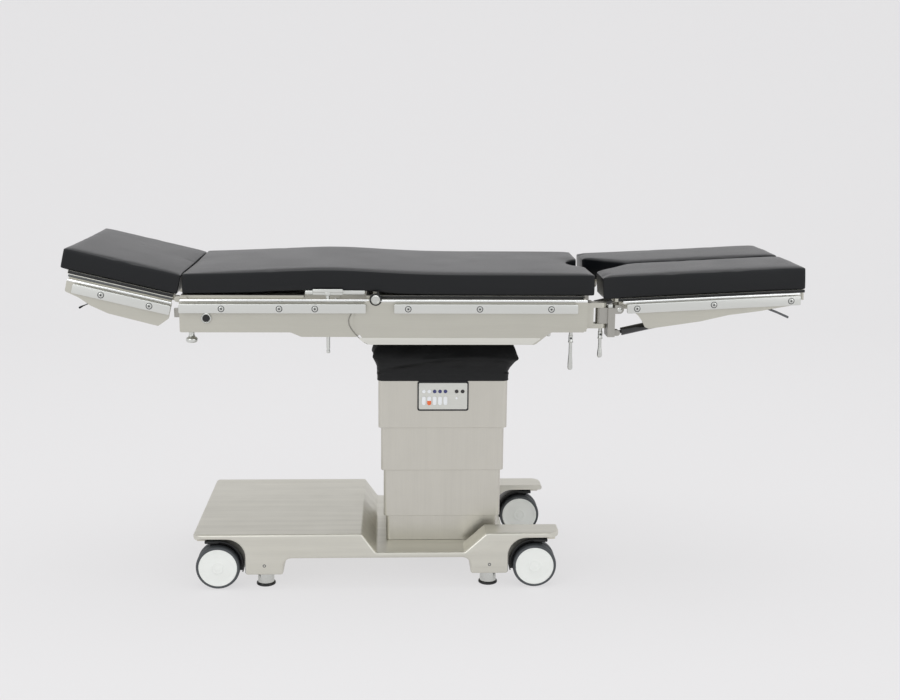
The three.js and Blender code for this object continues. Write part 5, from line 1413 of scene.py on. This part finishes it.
                # Painted shadow: a black strip along each board edge stands for the shaded gap under
                # the cushion.
                strip = side_box(sign, (start, end), self.board_face, (low, high), 0.8)
                self.bench.make(f"{section}_board_edging_{name}", strip, self.finishes.black,
                                self.body(section, name), Slot.BLACK_PLASTIC, (), 50, slope)
            band = side_box(sign, (-295, -12), self.board_line, (-7, -1.4), 0.8)
            self.bench.make(f"head_board_band_{name}", band, self.finishes.dark, "head", Slot.STEEL,
                            (), 50, HEAD_SLOPE)
            line = side_box(sign, (-295, -12), self.board_line, (-1.2, 1.4), 0.6)
            self.bench.make(f"head_board_line_{name}", line, self.finishes.hem, "head", Slot.STEEL,
                            (), 50, HEAD_SLOPE)

    def handle(self, section: str, name: str, sign: int, x: float, top: float, bottom: float,
               stem: float) -> None:
        """A clamp screw: a boss with a cross hole of painted shade, a washer and a tapered handle.

        Args:
            section: the section that it clamps.
            name: the near or the far side.
            sign: the side's sign along y.
            x: its axis along the table.
            top: the top of its boss.
            bottom: the foot of its handle.
            stem: how far its thread goes up into the plate.
        """
        y, body = sign * self.clamp_y, f"{section}_screw_{name}"
        piece = f"{section}_screw_handle_{name}"
        drop = top - 22
        length = drop - bottom
        grip = [(0, bottom), (3.4, bottom + 0.3), (5.6, bottom + 1.8), (6.7, bottom + 4.4),
                (6.9, bottom + 8), (6.4, bottom + length * 0.34), (5.2, bottom + length * 0.5),
                (4.7, bottom + length * 0.62), (4.6, drop - 3), (4.4, drop)]
        washer = [(6.4, drop), (7.2, drop + 1.2), (7.2, drop + 2.4), (6.4, drop + 3.2)]
        boss = [(6.1, drop + 4), (6.1, top - 1), (5.2, top), (5, top), (5, top + stem), (0, top + stem)]
        form = turned(grip + washer + boss, (x, y, 0), Axis.Z, 32)
        self.bench.make(piece, form, self.finishes.bright, body, Slot.PALE_STEEL,
                        [f"{section}_clamp_screw_{name}"], 35)
        # Painted shade: the cross hole isn't cut, and a dark rod in the boss stands for its shaded
        # inside.
        hole = rod(y - 6.25, y + 6.25, 3.1, (x, 0, top - 9), Axis.Y, 0.2)
        self.bench.make(f"{piece}_bore_painted_shade", hole, self.finishes.hollow_shade, body, Slot.DARK_METAL, (), 35)

    def strut(self, name: str, sign: int) -> None:
        """A gas strut: a lacquered body with an eye at its foot, and a bright rod with its own eye.

        Args:
            name: the near or the far side.
            sign: the side's sign along y.
        """
        y = sign * self.strut_y
        barrel = turned([(0, 11.2), (9.6, 11.2), (11, 12.6), (11, 136), (9.6, 139), (4.6, 139),
                         (4.6, 137), (0, 137)], (0, y, 0), Axis.X, 40)
        eye = rod(y - 6, y + 6, 8, (0, 0, 0), Axis.Y) + rod(-1, 12, 4.6, (0, y, 0), Axis.X)
        self.bench.make(f"strut_barrel_{name}", barrel + eye, self.finishes.strut, f"strut_body_{name}",
                        Slot.BLACK_PLASTIC, [f"gas_strut_body_{name}"], 35, STRUT_SLOPE)
        plunger = rod(118, 226, 4, (0, y, 0), Axis.X) + rod(y - 6, y + 6, 8, (230, 0, 0), Axis.Y)
        self.bench.make(f"strut_plunger_{name}", plunger, self.finishes.bright, f"strut_rod_{name}",
                        Slot.PALE_STEEL, [f"gas_strut_rod_{name}"], 35, STRUT_SLOPE)

    def blade(self, node: str, name: str, body: str, points: Sequence[Sequence[float]], y: float,
              width: float, slope: Slope) -> None:
        """A lever blade: a strip through the points, with rounded edges and an eye at its first point.

        Each point is moved up and down by half the strip's thickness, and the last one square to the
        strip's end.

        Args:
            node: the CAD node that it stands for.
            name: the piece's name.
            body: the CAD body that it rides on.
            points: the strip's middle line in (x, z).
            y: its middle across the table.
            width: its width along y.
            slope: the frame that it is given in.
        """
        line = np.array(points, float)
        tip = line[-1] - line[-2]
        normal = np.array([-tip[1], tip[0]]) / np.linalg.norm(tip) * self.blade_half
        upper, lower = line + (0, self.blade_half), line - (0, self.blade_half)
        upper[-1], lower[-1] = line[-1] + normal, line[-1] - normal
        outline = rounded([(*p, 2.2) for p in np.vstack([lower, upper[::-1]])], 4)
        form = slab(outline, y - width / 2, y + width / 2, Axis.Y, 1.2)
        eye = rod(y - width / 2 - 0.4, y + width / 2 + 0.4, 6.2, (line[0, 0], 0, line[0, 1]), Axis.Y)
        self.bench.make(name, form + eye, self.finishes.dark, body, Slot.PALE_STEEL, [node], 35, slope)

    def kidney(self) -> None:
        """The kidney bridge: a cross plate with side bars, stems and two rods with notched ends."""
        forms = [box(*self.kidney_plate, 3)]
        guide = [(0, 686.4), (4.2, 686.4), (4.95, 687.2), (4.95, 694.4), (3.6, 695), (3.6, 698.4),
                 (4.95, 699), (4.95, 856), (0, 856)]
        x, y = self.kidney_rod
        for _, sign in SIDES:
            forms += [side_box(sign, *bar, 2) for bar in self.kidney_bars]
            forms.append(turned(guide, (x, sign * y, 0), Axis.Z, 32))
        self.bench.make("kidney_bridge_steel", merged(forms), self.finishes.rail, "kidney",
                        Slot.PALE_STEEL, ["kidney_bridge"], 35)

    def knob(self) -> None:
        """The head clamp knob: a bell that widens down to a rounded rim, on a neck."""
        profile = [(0, 711), (12.6, 711), (14.6, 712.6), (15.8, 715.4), (16, 718.4), (15.5, 721.6),
                   (14.2, 723.2), (10.6, 725), (8.4, 728.6), (7.6, 733), (7.5, 794.4), (5, 794.4),
                   (5, 812), (0, 812)]
        self.bench.make("head_knob_steel", turned(profile, self.knob_place), self.finishes.rail,
                        "head_knob", Slot.BLACK_PLASTIC, ["head_clamp_knob"], 40)

    def pivots(self) -> None:
        """The caps and washers on the back pivot, and the ring and insert of the near side's socket."""
        cap = turned([(0, 3.6), (8.2, 3.6), (8.8, 5.2), (10.4, 5.4), (12.2, 4.2), (13, 2), (13, -2.4),
                      (0, -2.4)], (0, 0, 0), Axis.Y)
        washer = turned([(0, -2.6), (16.6, -2.6), (17, -3.2), (17, -4.2), (0, -4.2)], (0, 0, 0), Axis.Y)
        x, y, z = self.pivot
        for name, sign in SIDES:
            place = (x, sign * y, z)
            self.bench.make(f"pivot_cap_{name}", cap.placed(place, sign), self.finishes.bright, "seat",
                            Slot.STEEL)
            self.bench.make(f"pivot_washer_{name}", washer.placed(place, sign), self.finishes.black,
                            "seat", Slot.BLACK_PLASTIC)
        x, y, z = self.socket
        collar = ring([(10, 0), (10, -7), (11, -8), (13, -8), (14, -7), (14, 0)], 48)
        self.bench.make("socket_ring", collar.placed((x, y, z)), self.finishes.bright, "back",
                        Slot.STEEL)
        hole = turned([(0, 0), (9.9, 0), (9.9, 4), (0, 4)], (x, y - self.insert_depth, z), Axis.Y)
        self.bench.make("socket_insert", hole, self.finishes.black, "back", Slot.STEEL)

    def bracket(self, name: str, sign: int) -> None:
        """Small things on a leg bracket: the bright bolt at the hinge and the small stop.

        Args:
            name: the near or the far side.
            sign: the side's sign along y.
        """
        bolt = turned([(0, 4.5), (4.8, 4.2), (6.6, 3.0), (6.8, 0), (0, 0)], (0, 0, 0), Axis.Y)
        place = (LEG_SLOPE.x, sign * self.bolt_y, LEG_SLOPE.z)
        self.bench.make(f"leg_bolt_{name}", bolt.placed(place, sign), self.finishes.bright,
                        f"leg_mount_{name}", Slot.PALE_STEEL)
        block = side_box(sign, *self.stop, 1.5)
        self.bench.make(f"bracket_stop_{name}", block, self.finishes.rail, f"leg_mount_{name}",
                        Slot.PALE_STEEL)

    def hinge_leaves(self) -> None:
        """A grey hinge leaf at each side where the back section meets the head section."""
        for name, sign in SIDES:
            leaf = side_box(sign, *self.leaf, 1.4)
            self.bench.make(f"head_hinge_leaf_{name}", leaf, self.finishes.hinge, "back", Slot.STEEL)

    def plate_trims(self) -> None:
        """The pale hem along the seat plate's lower edge, and a cord of painted shadow along its head
        edge.

        The cord is thin and round along a path: its knots are joined by straight runs, averaged
        over seven steps, and each ring lies in the plane of the outward way and the path's normal.
        """
        knots = np.array([(-253.7, 799), (-263.3, 781), (-260.3, 762), (-243.9, 740), (-223.2, 720),
                          (-208, 712.6)], float)
        steps = np.linspace(0, len(knots) - 1, 40)
        kernel = np.ones(7) / 7
        runs = [np.interp(steps, np.arange(len(knots)), column) for column in knots.T]
        path = np.stack([np.convolve(np.pad(run, 3, mode="edge"), kernel, "valid") for run in runs], -1)
        way = np.gradient(path, axis=0)
        way /= np.linalg.norm(way, axis=1, keepdims=True)
        across = np.stack([-way[:, 1], np.zeros(len(path)), way[:, 0]], -1)
        angle = np.linspace(0, FULL_TURN, 12, endpoint=False)
        side = np.array([0.0, 1.0, 0.0])
        cord = self.shadow_cord_radius * (np.cos(angle)[None, :, None] * across[:, None]
                                    + np.sin(angle)[None, :, None] * side)
        outline = rounded([(-237, 731, 2), (-224.5, 720.5, 8), (-206.7, 712.4, 14), (238.6, 712.4, 6),
                           (266, 731, 2)], 5)
        for name, sign in SIDES:
            hem = slab(outline, *span(sign, *self.hem_face), Axis.Y, 0.3)
            self.bench.make(f"seat_plate_hem_{name}", hem, self.finishes.hem, "seat", Slot.STEEL)
            # Painted shadow: a grey cord along the head edge stands for the shade of the step to the
            # back plate.
            middle = np.stack([path[:, 0], np.full(len(path), sign * self.shadow_cord_y), path[:, 1]], -1)
            rings = middle[:, None] + cord
            self.bench.make(f"seat_plate_joint_{name}", tube(rings), self.finishes.seam, "seat",
                            Slot.BLACK_PLASTIC, (), 50)

    def build(self) -> None:
        """Builds every fitting of the table top."""
        for name, sign in SIDES:
            for section in self.rails:
                self.rail(section, name, sign)
            self.strut(name, sign)
            for section, *sizes in self.clamps:
                self.handle(section, name, sign, *sizes)
            self.blade(f"leg_release_lever_{name}", f"leg_lever_blade_{name}", f"leg_lever_{name}",
                       [(402, -16), (445, -35), (477, -51)], sign * 238.0, 12, LEG_SLOPE)
            self.bracket(name, sign)
        self.blade("head_release_lever", "head_lever_blade", "head_lever", [(-218, -58), (-250, -84)],
                   -262.0, 14, HEAD_SLOPE)
        self.beads()
        self.trims()
        self.hinge_leaves()
        self.plate_trims()
        self.kidney()
        self.knob()
        self.pivots()


# The cushions


@dataclass
class Pad:
    """A cushion in a unit plan: u runs along it, v across it and w up it, each from 0 to 1.

    Its place carries the unit plan to the table, and its own sizes only set the rounded edges.
    """

    name: str
    length: float
    width: float
    thickness: float
    place: Callable[[np.ndarray, np.ndarray, np.ndarray], np.ndarray]
    replaces: tuple[str, ...]
    body: str | None
    slope: Slope = LEVEL
    edge: float = 6.0
    step: float = 11.0

    def form(self) -> Form:
        """A block of grids on six sides, whose edges are rounded.

        A point is drawn back into the inner block, and pushed out again by the edge radius along the
        way that it was drawn, so that edges and corners come out as parts of a cylinder and a ball.
        The unit plan is then carried to its place, which also draws the sides in between their edges.

        Returns:
            The closed form.
        """
        size = np.array([self.length, self.width, self.thickness])
        counts = np.maximum((size / self.step).astype(int), 5)
        points: list[np.ndarray] = []
        faces: list[tuple[int, ...]] = []
        shift = 0
        for axis in range(3):
            first, second = (axis + 1) % 3, (axis + 2) % 3
            rows, columns = counts[first] + 1, counts[second] + 1
            u, v = np.meshgrid(self.spaced(size[first], counts[first]),
                               self.spaced(size[second], counts[second]), indexing="ij")
            for level in (0.0, 1.0):
                block = np.zeros((rows, columns, 3))
                block[..., first] = u
                block[..., second] = v
                block[..., axis] = level * size[axis]
                points.append(block.reshape(-1, 3))
                faces += grid_faces(rows, columns, shift)
                shift += rows * columns
        whole = np.vstack(points)
        inner = np.clip(whole, self.edge, size - self.edge)
        way = whole - inner
        reach = np.linalg.norm(way, axis=1, keepdims=True)
        whole = inner + self.edge * way / np.maximum(reach, 1e-9)
        share = whole / size
        return Form(self.place(share[:, 0], share[:, 1], share[:, 2]), faces)

    def spaced(self, length: float, count: int) -> np.ndarray:
        """Even stations with extra ones inside both rounded edges.

        Args:
            length: the cushion's size that they divide.
            count: the steps between them.

        Returns:
            The stations, from 0 to the length.
        """
        ends = self.edge * np.array([0.0, 0.25, 0.6, 1.0])
        inside = np.linspace(self.edge, length - self.edge, count - 5)
        return np.concatenate([ends[:-1], inside, (length - ends[:-1])[::-1]])


@dataclass
class Cushions:
    """The mattress, the head cushion and the two leg cushions.

    The sides pull in by draw, or by mattress_draw, between their edges, and the top rises by rise to
    its middle. The lines give the mattress's z at each x, and leg_inner a leg cushion's inner y. Each
    pair for the head and the leg cushions is where the cushion starts and how far it runs.
    """

    bench: Bench
    finishes: Finishes
    half: float = 265.0
    cap: float = 3.5
    cloth_frames: int = 14
    draw: float = 2.0
    mattress_draw: float = 2.2
    rise: float = 2.0
    pivot_x: float = -188.7
    wrinkles: tuple[float, float] = (-330.0, -150.0)
    wrinkle_fade: float = 46.0
    wrinkle_wave: float = 8.5
    wrinkle_depth: float = 1.3
    notch_fade: float = 170.0
    head_x: tuple[float, float] = (-322.0, 320.0)
    head_z: tuple[float, float] = (10.4, 54.2)
    leg_x: tuple[float, float] = (-45.0, 566.0)
    leg_z: tuple[float, float] = (29.5, 59.6)
    head_edge: float = -713.5
    seat_edge: float = 412.0
    notch_half: float = 88.0
    notch_depth: float = 43.0
    top_line: tuple[tuple[float, float], ...] = (
        (-712, 898.7), (-536, 906.8), (-392, 913.4), (-315, 915.6), (-237, 912.6), (-170, 908.6),
        (-82, 904.2), (22, 901.9), (412, 901.2))
    under_line: tuple[tuple[float, float], ...] = (
        (-712, 844.4), (-537, 851), (-383, 858.4), (-217, 858.4), (-170, 851), (-82, 845.8),
        (127, 844.4), (412, 844.4))
    leg_inner: tuple[tuple[float, float], ...] = ((-40, 142.3), (68, 12.3), (521, 12.3))

    @staticmethod
    def crown(v: np.ndarray, u: np.ndarray) -> np.ndarray:
        """A low dome: one minus the fourth power of the way out, times one minus its eighth along."""
        return (1 - np.abs(2 * v - 1) ** 4) * (1 - np.abs(2 * u - 1) ** 8)

    @staticmethod
    def pinch(depth: float, v: np.ndarray, w: np.ndarray) -> np.ndarray:
        """How far a side is drawn in: a half wave up the side times the ninth power of the way out."""
        return depth * np.sin(np.pi * np.clip(w, 0, 1)) * (2 * v - 1) ** 9

    @staticmethod
    def line(table: Sequence[Sequence[float]], x: np.ndarray, reach: float = 45,
             count: int = 13) -> np.ndarray:
        """A smooth curve through a table: its polyline, averaged over a reach before and after x.

        Args:
            table: the knots, x first.
            x: where it is asked for.
            reach: how far the average goes each way.
            count: the samples that it takes.

        Returns:
            The curve's height at each x.
        """
        knots = np.array(table, float)
        spread = np.linspace(-reach, reach, count)
        return np.interp(x[:, None] + spread[None], knots[:, 0], knots[:, 1]).mean(1)

    def mattress_place(self, u: np.ndarray, v: np.ndarray, w: np.ndarray) -> np.ndarray:
        """The long mattress: its under and top lines, its notch at the leg end and its side wrinkles.

        The notch is a rounded bay that fades in towards the end. The wrinkles are slanting waves on
        both sides, shown between their two places by the difference of two soft steps.

        Args:
            u: the share along the mattress.
            v: the share across it.
            w: the share up it.

        Returns:
            The points.
        """
        x = self.head_edge + u * (self.seat_edge - self.head_edge)
        y = -self.half + 2 * self.half * v
        draw = self.pinch(self.mattress_draw, v, w)
        low, high = self.line(self.under_line, x), self.line(self.top_line, x)
        z = low + w * (high - low) + self.rise * self.crown(v, u) * w
        notch = self.notch_depth * np.maximum(1 - np.abs(y / self.notch_half) ** 2.1, 0) ** 0.75
        ramp = np.clip((x - (self.seat_edge - self.notch_fade)) / self.notch_fade, 0, 1)
        start, end = (1 / (1 + np.exp(-(x - place) / self.wrinkle_fade)) for place in self.wrinkles)
        slant = (np.sin((x + 0.9 * z) / self.wrinkle_wave) * (start - end)
                 * np.sin(np.pi * np.clip(w, 0, 1)))
        side = np.clip((np.abs(2 * v - 1) - 0.96) / 0.04, 0, 1) * np.sign(2 * v - 1)
        return np.stack([x - notch * ramp, y - draw + self.wrinkle_depth * slant * side, z], -1)

    def head_place(self, u: np.ndarray, v: np.ndarray, w: np.ndarray) -> np.ndarray:
        """The head cushion in its own slope, with a low crown.

        Args:
            u: the share along the cushion.
            v: the share across it.
            w: the share up it.

        Returns:
            The points.
        """
        x = self.head_x[0] + u * self.head_x[1]
        y = -self.half + 2 * self.half * v
        z = self.head_z[0] + w * self.head_z[1] + self.rise * self.crown(v, u) * w
        return np.stack([x, y - self.pinch(self.draw, v, w), z], -1)

    def leg_place(self, sign: int) -> Callable[[np.ndarray, np.ndarray, np.ndarray], np.ndarray]:
        """A leg cushion, whose inner edge runs in at a slant and then straight to its end.

        Args:
            sign: the side's sign along y.

        Returns:
            The function that carries the unit plan to the leg's slope.
        """
        def place(u: np.ndarray, v: np.ndarray, w: np.ndarray) -> np.ndarray:
            """Carries v from the inner edge, which depends on x, to the outer side.

            Args:
                u: the share along the cushion.
                v: the share from its inner edge to its outer side.
                w: the share up it.

            Returns:
                The points.
            """
            x = self.leg_x[0] + u * self.leg_x[1]
            inner = self.line(self.leg_inner, x, 14, 9)
            y = inner + v * (self.half - inner)
            z = self.leg_z[0] + w * self.leg_z[1] + self.rise * self.crown(v, u) * w
            return np.stack([x, sign * (y - self.pinch(self.draw, v, w)), z], -1)
        return place

    def pads(self) -> list[Pad]:
        """The four cushions.

        Returns:
            The mattress, the head cushion, and the near and the far leg cushion.
        """
        made = [
            Pad("mattress", 1123, 530, 57, self.mattress_place,
                ("back_cushion", "lumbar_cushion", "seat_cushion"), None),
            Pad("head_pad", 311, 530, 54, self.head_place, ("head_cushion", "head_cushion_end"), "head",
                HEAD_SLOPE),
        ]
        made += [Pad(f"leg_pad_{name}", 561, 253, 60, self.leg_place(sign), (f"leg_cushion_{name}",),
                     f"leg_{name}", LEG_SLOPE) for name, sign in SIDES]
        return made

    def stuff(self, pieces: list[bpy.types.Object]) -> None:
        """Puffs the covers with cloth, and keeps each point within the cap of where it was.

        A point of the lowest third doesn't move down, so that the cushions stay on their boards.

        Args:
            pieces: the cushions' objects.
        """
        starts = {}
        for piece in pieces:
            count = len(piece.data.vertices)
            points = np.empty(count * 3)
            piece.data.vertices.foreach_get("co", points)
            starts[piece.name] = points.reshape(-1, 3)
            cloth = piece.modifiers.new("stuffing", "CLOTH")
            settings = cloth.settings
            settings.quality = 5
            settings.mass = 0.4
            settings.tension_stiffness = 40
            settings.compression_stiffness = 40
            settings.shear_stiffness = 20
            settings.bending_stiffness = 6
            settings.use_pressure = True
            settings.uniform_pressure_force = 1.6
            settings.effector_weights.gravity = 0
            cloth.point_cache.frame_start = 1
            cloth.point_cache.frame_end = self.cloth_frames
        scene = bpy.context.scene
        for frame in range(1, self.cloth_frames + 1):
            scene.frame_set(frame)
        for piece in pieces:
            shape = piece.evaluated_get(bpy.context.evaluated_depsgraph_get())
            moved = np.empty(len(shape.data.vertices) * 3)
            shape.data.vertices.foreach_get("co", moved)
            start = starts[piece.name]
            way = moved.reshape(-1, 3) - start
            reach = np.linalg.norm(way, axis=1, keepdims=True)
            limit = self.cap * MM
            way *= np.minimum(1, limit / np.maximum(reach, 1e-9))
            down = start[:, 2] < np.percentile(start[:, 2], 30)
            way[down & (way[:, 2] < 0), 2] = 0
            piece.modifiers.clear()
            piece.data.vertices.foreach_set("co", (start + way).ravel())
            piece.data.update()
        scene.frame_set(1)

    def build(self) -> None:
        """Builds the cushions, stuffs them, and sets them on their bodies."""
        pads = self.pads()
        pieces = [self.bench.make(f"{pad.name}_cover", pad.form(), self.finishes.leather, None,
                                  Slot.LEATHER, (), 60, pad.slope) for pad in pads]
        self.stuff(pieces)
        for pad, piece in zip(pads, pieces):
            smooth = piece.modifiers.new("smooth", "SUBSURF")
            smooth.levels = smooth.render_levels = 1
            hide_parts(*pad.replaces)
            if pad.body:
                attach(piece, pad.body)
            else:
                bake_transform(piece)


# The room


@dataclass
class Studio:
    """The camera, the lamps, the floor and the backdrop.

    The glows are how far the backdrop shines by itself to the camera and in what mirrors or passes it.
    Each of the lights has what lamp asks for, in its order.
    """

    bench: Bench
    lens: float = 52.0
    place: tuple[float, float, float] = (-147.7, -3765.4, 1391.8)
    yaw: float = 0.0464
    pitch: float = 0.1966
    roll: float = 0.0095
    pale: tuple[int, int, int] = (232, 231, 232)
    camera_glow: float = 0.78
    mirror_glow: float = 0.7
    world_colour: tuple[float, float, float] = (0.86, 0.87, 0.88)
    world_strength: float = 0.95
    floor_front: float = -9.0
    bend_start: float = 4.0
    bend_radius: float = 2.5
    wall_top: float = 9.0
    sweep_half: float = 11.0
    lights: tuple[tuple[str, Sequence[float], Sequence[float], tuple[float, float], float], ...] = (
        ("top", (0, 0.3, 4.2), (0, 0, 0.6), (4.5, 3.0), 55),
        ("key", (-2.8, -3.6, 2.6), (0, 0, 0.6), (2.2, 2.2), 34),
        ("fill", (3.2, -3.4, 2.0), (0, 0, 0.5), (2.4, 2.4), 20))

    def camera(self) -> None:
        """Sets the camera where the photograph was taken from."""
        ahead = np.array([math.sin(self.yaw), math.cos(self.yaw), 0])
        right = np.array([math.cos(self.yaw), -math.sin(self.yaw), 0])
        up = np.array([0, 0, 1.0])
        down = ahead * math.cos(self.pitch) - up * math.sin(self.pitch)
        over = up * math.cos(self.pitch) + ahead * math.sin(self.pitch)
        side = right * math.cos(self.roll) + over * math.sin(self.roll)
        top = -right * math.sin(self.roll) + over * math.cos(self.roll)
        data = bpy.data.cameras.new("camera")
        data.lens = self.lens
        data.sensor_width = 36
        data.clip_end = 60
        camera = bpy.data.objects.new("camera", data)
        bpy.context.scene.collection.objects.link(camera)
        place = self.bench.out(np.array(self.place))
        rows = Matrix((side, top, -down)).transposed().to_4x4()
        camera.matrix_world = Matrix.Translation(Vector(place)) @ rows
        bpy.context.scene.camera = camera

    def stage(self) -> None:
        """The floor runs back and up into the backdrop in one sweep, and is pale to the camera."""
        bend = np.linspace(0, QUARTER_TURN, 24)
        radius, start = self.bend_radius, self.bend_start
        arc = np.stack([start + radius * np.sin(bend), radius - radius * np.cos(bend)], -1)
        curve = np.vstack([[(self.floor_front, 0.0)], arc, [(start + radius, self.wall_top)]])
        across = np.linspace(-self.sweep_half, self.sweep_half, 3)
        along = np.repeat(curve, len(across), axis=0)
        points = np.column_stack([np.tile(across, len(curve)), along])
        mesh = bpy.data.meshes.new("studio_sweep")
        mesh.from_pydata(points.tolist(), [], grid_faces(len(curve), len(across)))
        mesh.shade_smooth()
        sweep = bpy.data.objects.new("studio_sweep", mesh)
        bpy.context.scene.collection.objects.link(sweep)
        graph = Graph("studio sweep")
        pale = (*linear(*self.pale), 1)
        soft = graph.node("ShaderNodeBsdfDiffuse", None, {"Color": pale})
        bright = graph.node("ShaderNodeEmission", None, {"Color": pale, "Strength": 1.0})
        path = graph.node("ShaderNodeLightPath")
        seen = path.out("Is Camera Ray") * self.camera_glow
        share = (seen + path.out("Is Glossy Ray") * self.mirror_glow
                 + path.out("Is Transmission Ray") * self.mirror_glow)
        mix = graph.node("ShaderNodeMixShader", None, {0: share, 1: soft.out(0), 2: bright.out(0)})
        graph.node("ShaderNodeOutputMaterial", None, {"Surface": mix.out(0)})
        mesh.materials.append(graph.material)
        sweep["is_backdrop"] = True

    def lamp(self, name: str, place: Sequence[float], aim: Sequence[float], size: tuple[float, float],
             power: float) -> None:
        """An area lamp that looks at a point.

        Args:
            name: its name.
            place: where it stands, in metres.
            aim: the point that it looks at.
            size: its width and height.
            power: its power in watts.
        """
        data = bpy.data.lights.new(name, "AREA")
        data.shape = "RECTANGLE"
        data.size, data.size_y = size
        data.energy = power
        lamp = bpy.data.objects.new(name, data)
        bpy.context.scene.collection.objects.link(lamp)
        way = Vector(aim) - Vector(place)
        turn = way.to_track_quat("-Z", "Y").to_matrix().to_4x4()
        lamp.matrix_world = Matrix.Translation(Vector(place)) @ turn

    def lamps(self) -> None:
        """A broad lamp above, a key from the left front, a fill from the right front, and the world."""
        for light in self.lights:
            self.lamp(*light)
        world = bpy.data.worlds.new("studio")
        bpy.context.scene.world = world
        world.use_nodes = True
        back = world.node_tree.nodes["Background"]
        back.inputs["Color"].default_value = (*self.world_colour, 1)
        back.inputs["Strength"].default_value = self.world_strength

    def build(self) -> None:
        """Builds the camera, the stage and the lamps, and sets the view."""
        self.camera()
        self.stage()
        self.lamps()
        bpy.context.scene.view_settings.view_transform = "Standard"


def corners() -> list[list[float]]:
    """The lowest and highest corner of everything that is shown, as plain lists."""
    return [[float(level) for level in corner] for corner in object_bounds()]


def main() -> None:
    """Builds the dressed table in order."""
    logging.basicConfig(level=logging.INFO, format="%(message)s")
    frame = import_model()
    bench = Bench()
    finishes = Finishes()
    dress(frame, finishes.plate, "seat_frame", "back_frame", "head_frame", "leg_frame_near",
          "leg_frame_far")
    dress(frame, finishes.dark, "power_unit", "lift_cylinder", "lift_ram", "tilt_cross",
          "table_carriage")
    dress(frame, finishes.hinge, "leg_bracket_near", "leg_bracket_far")
    Studio(bench).build()
    Base(bench, finishes).build()
    Column(bench, finishes).build()
    TableTop(bench, finishes).build()
    Cushions(bench, finishes).build()


if __name__ == "__main__":
    main()
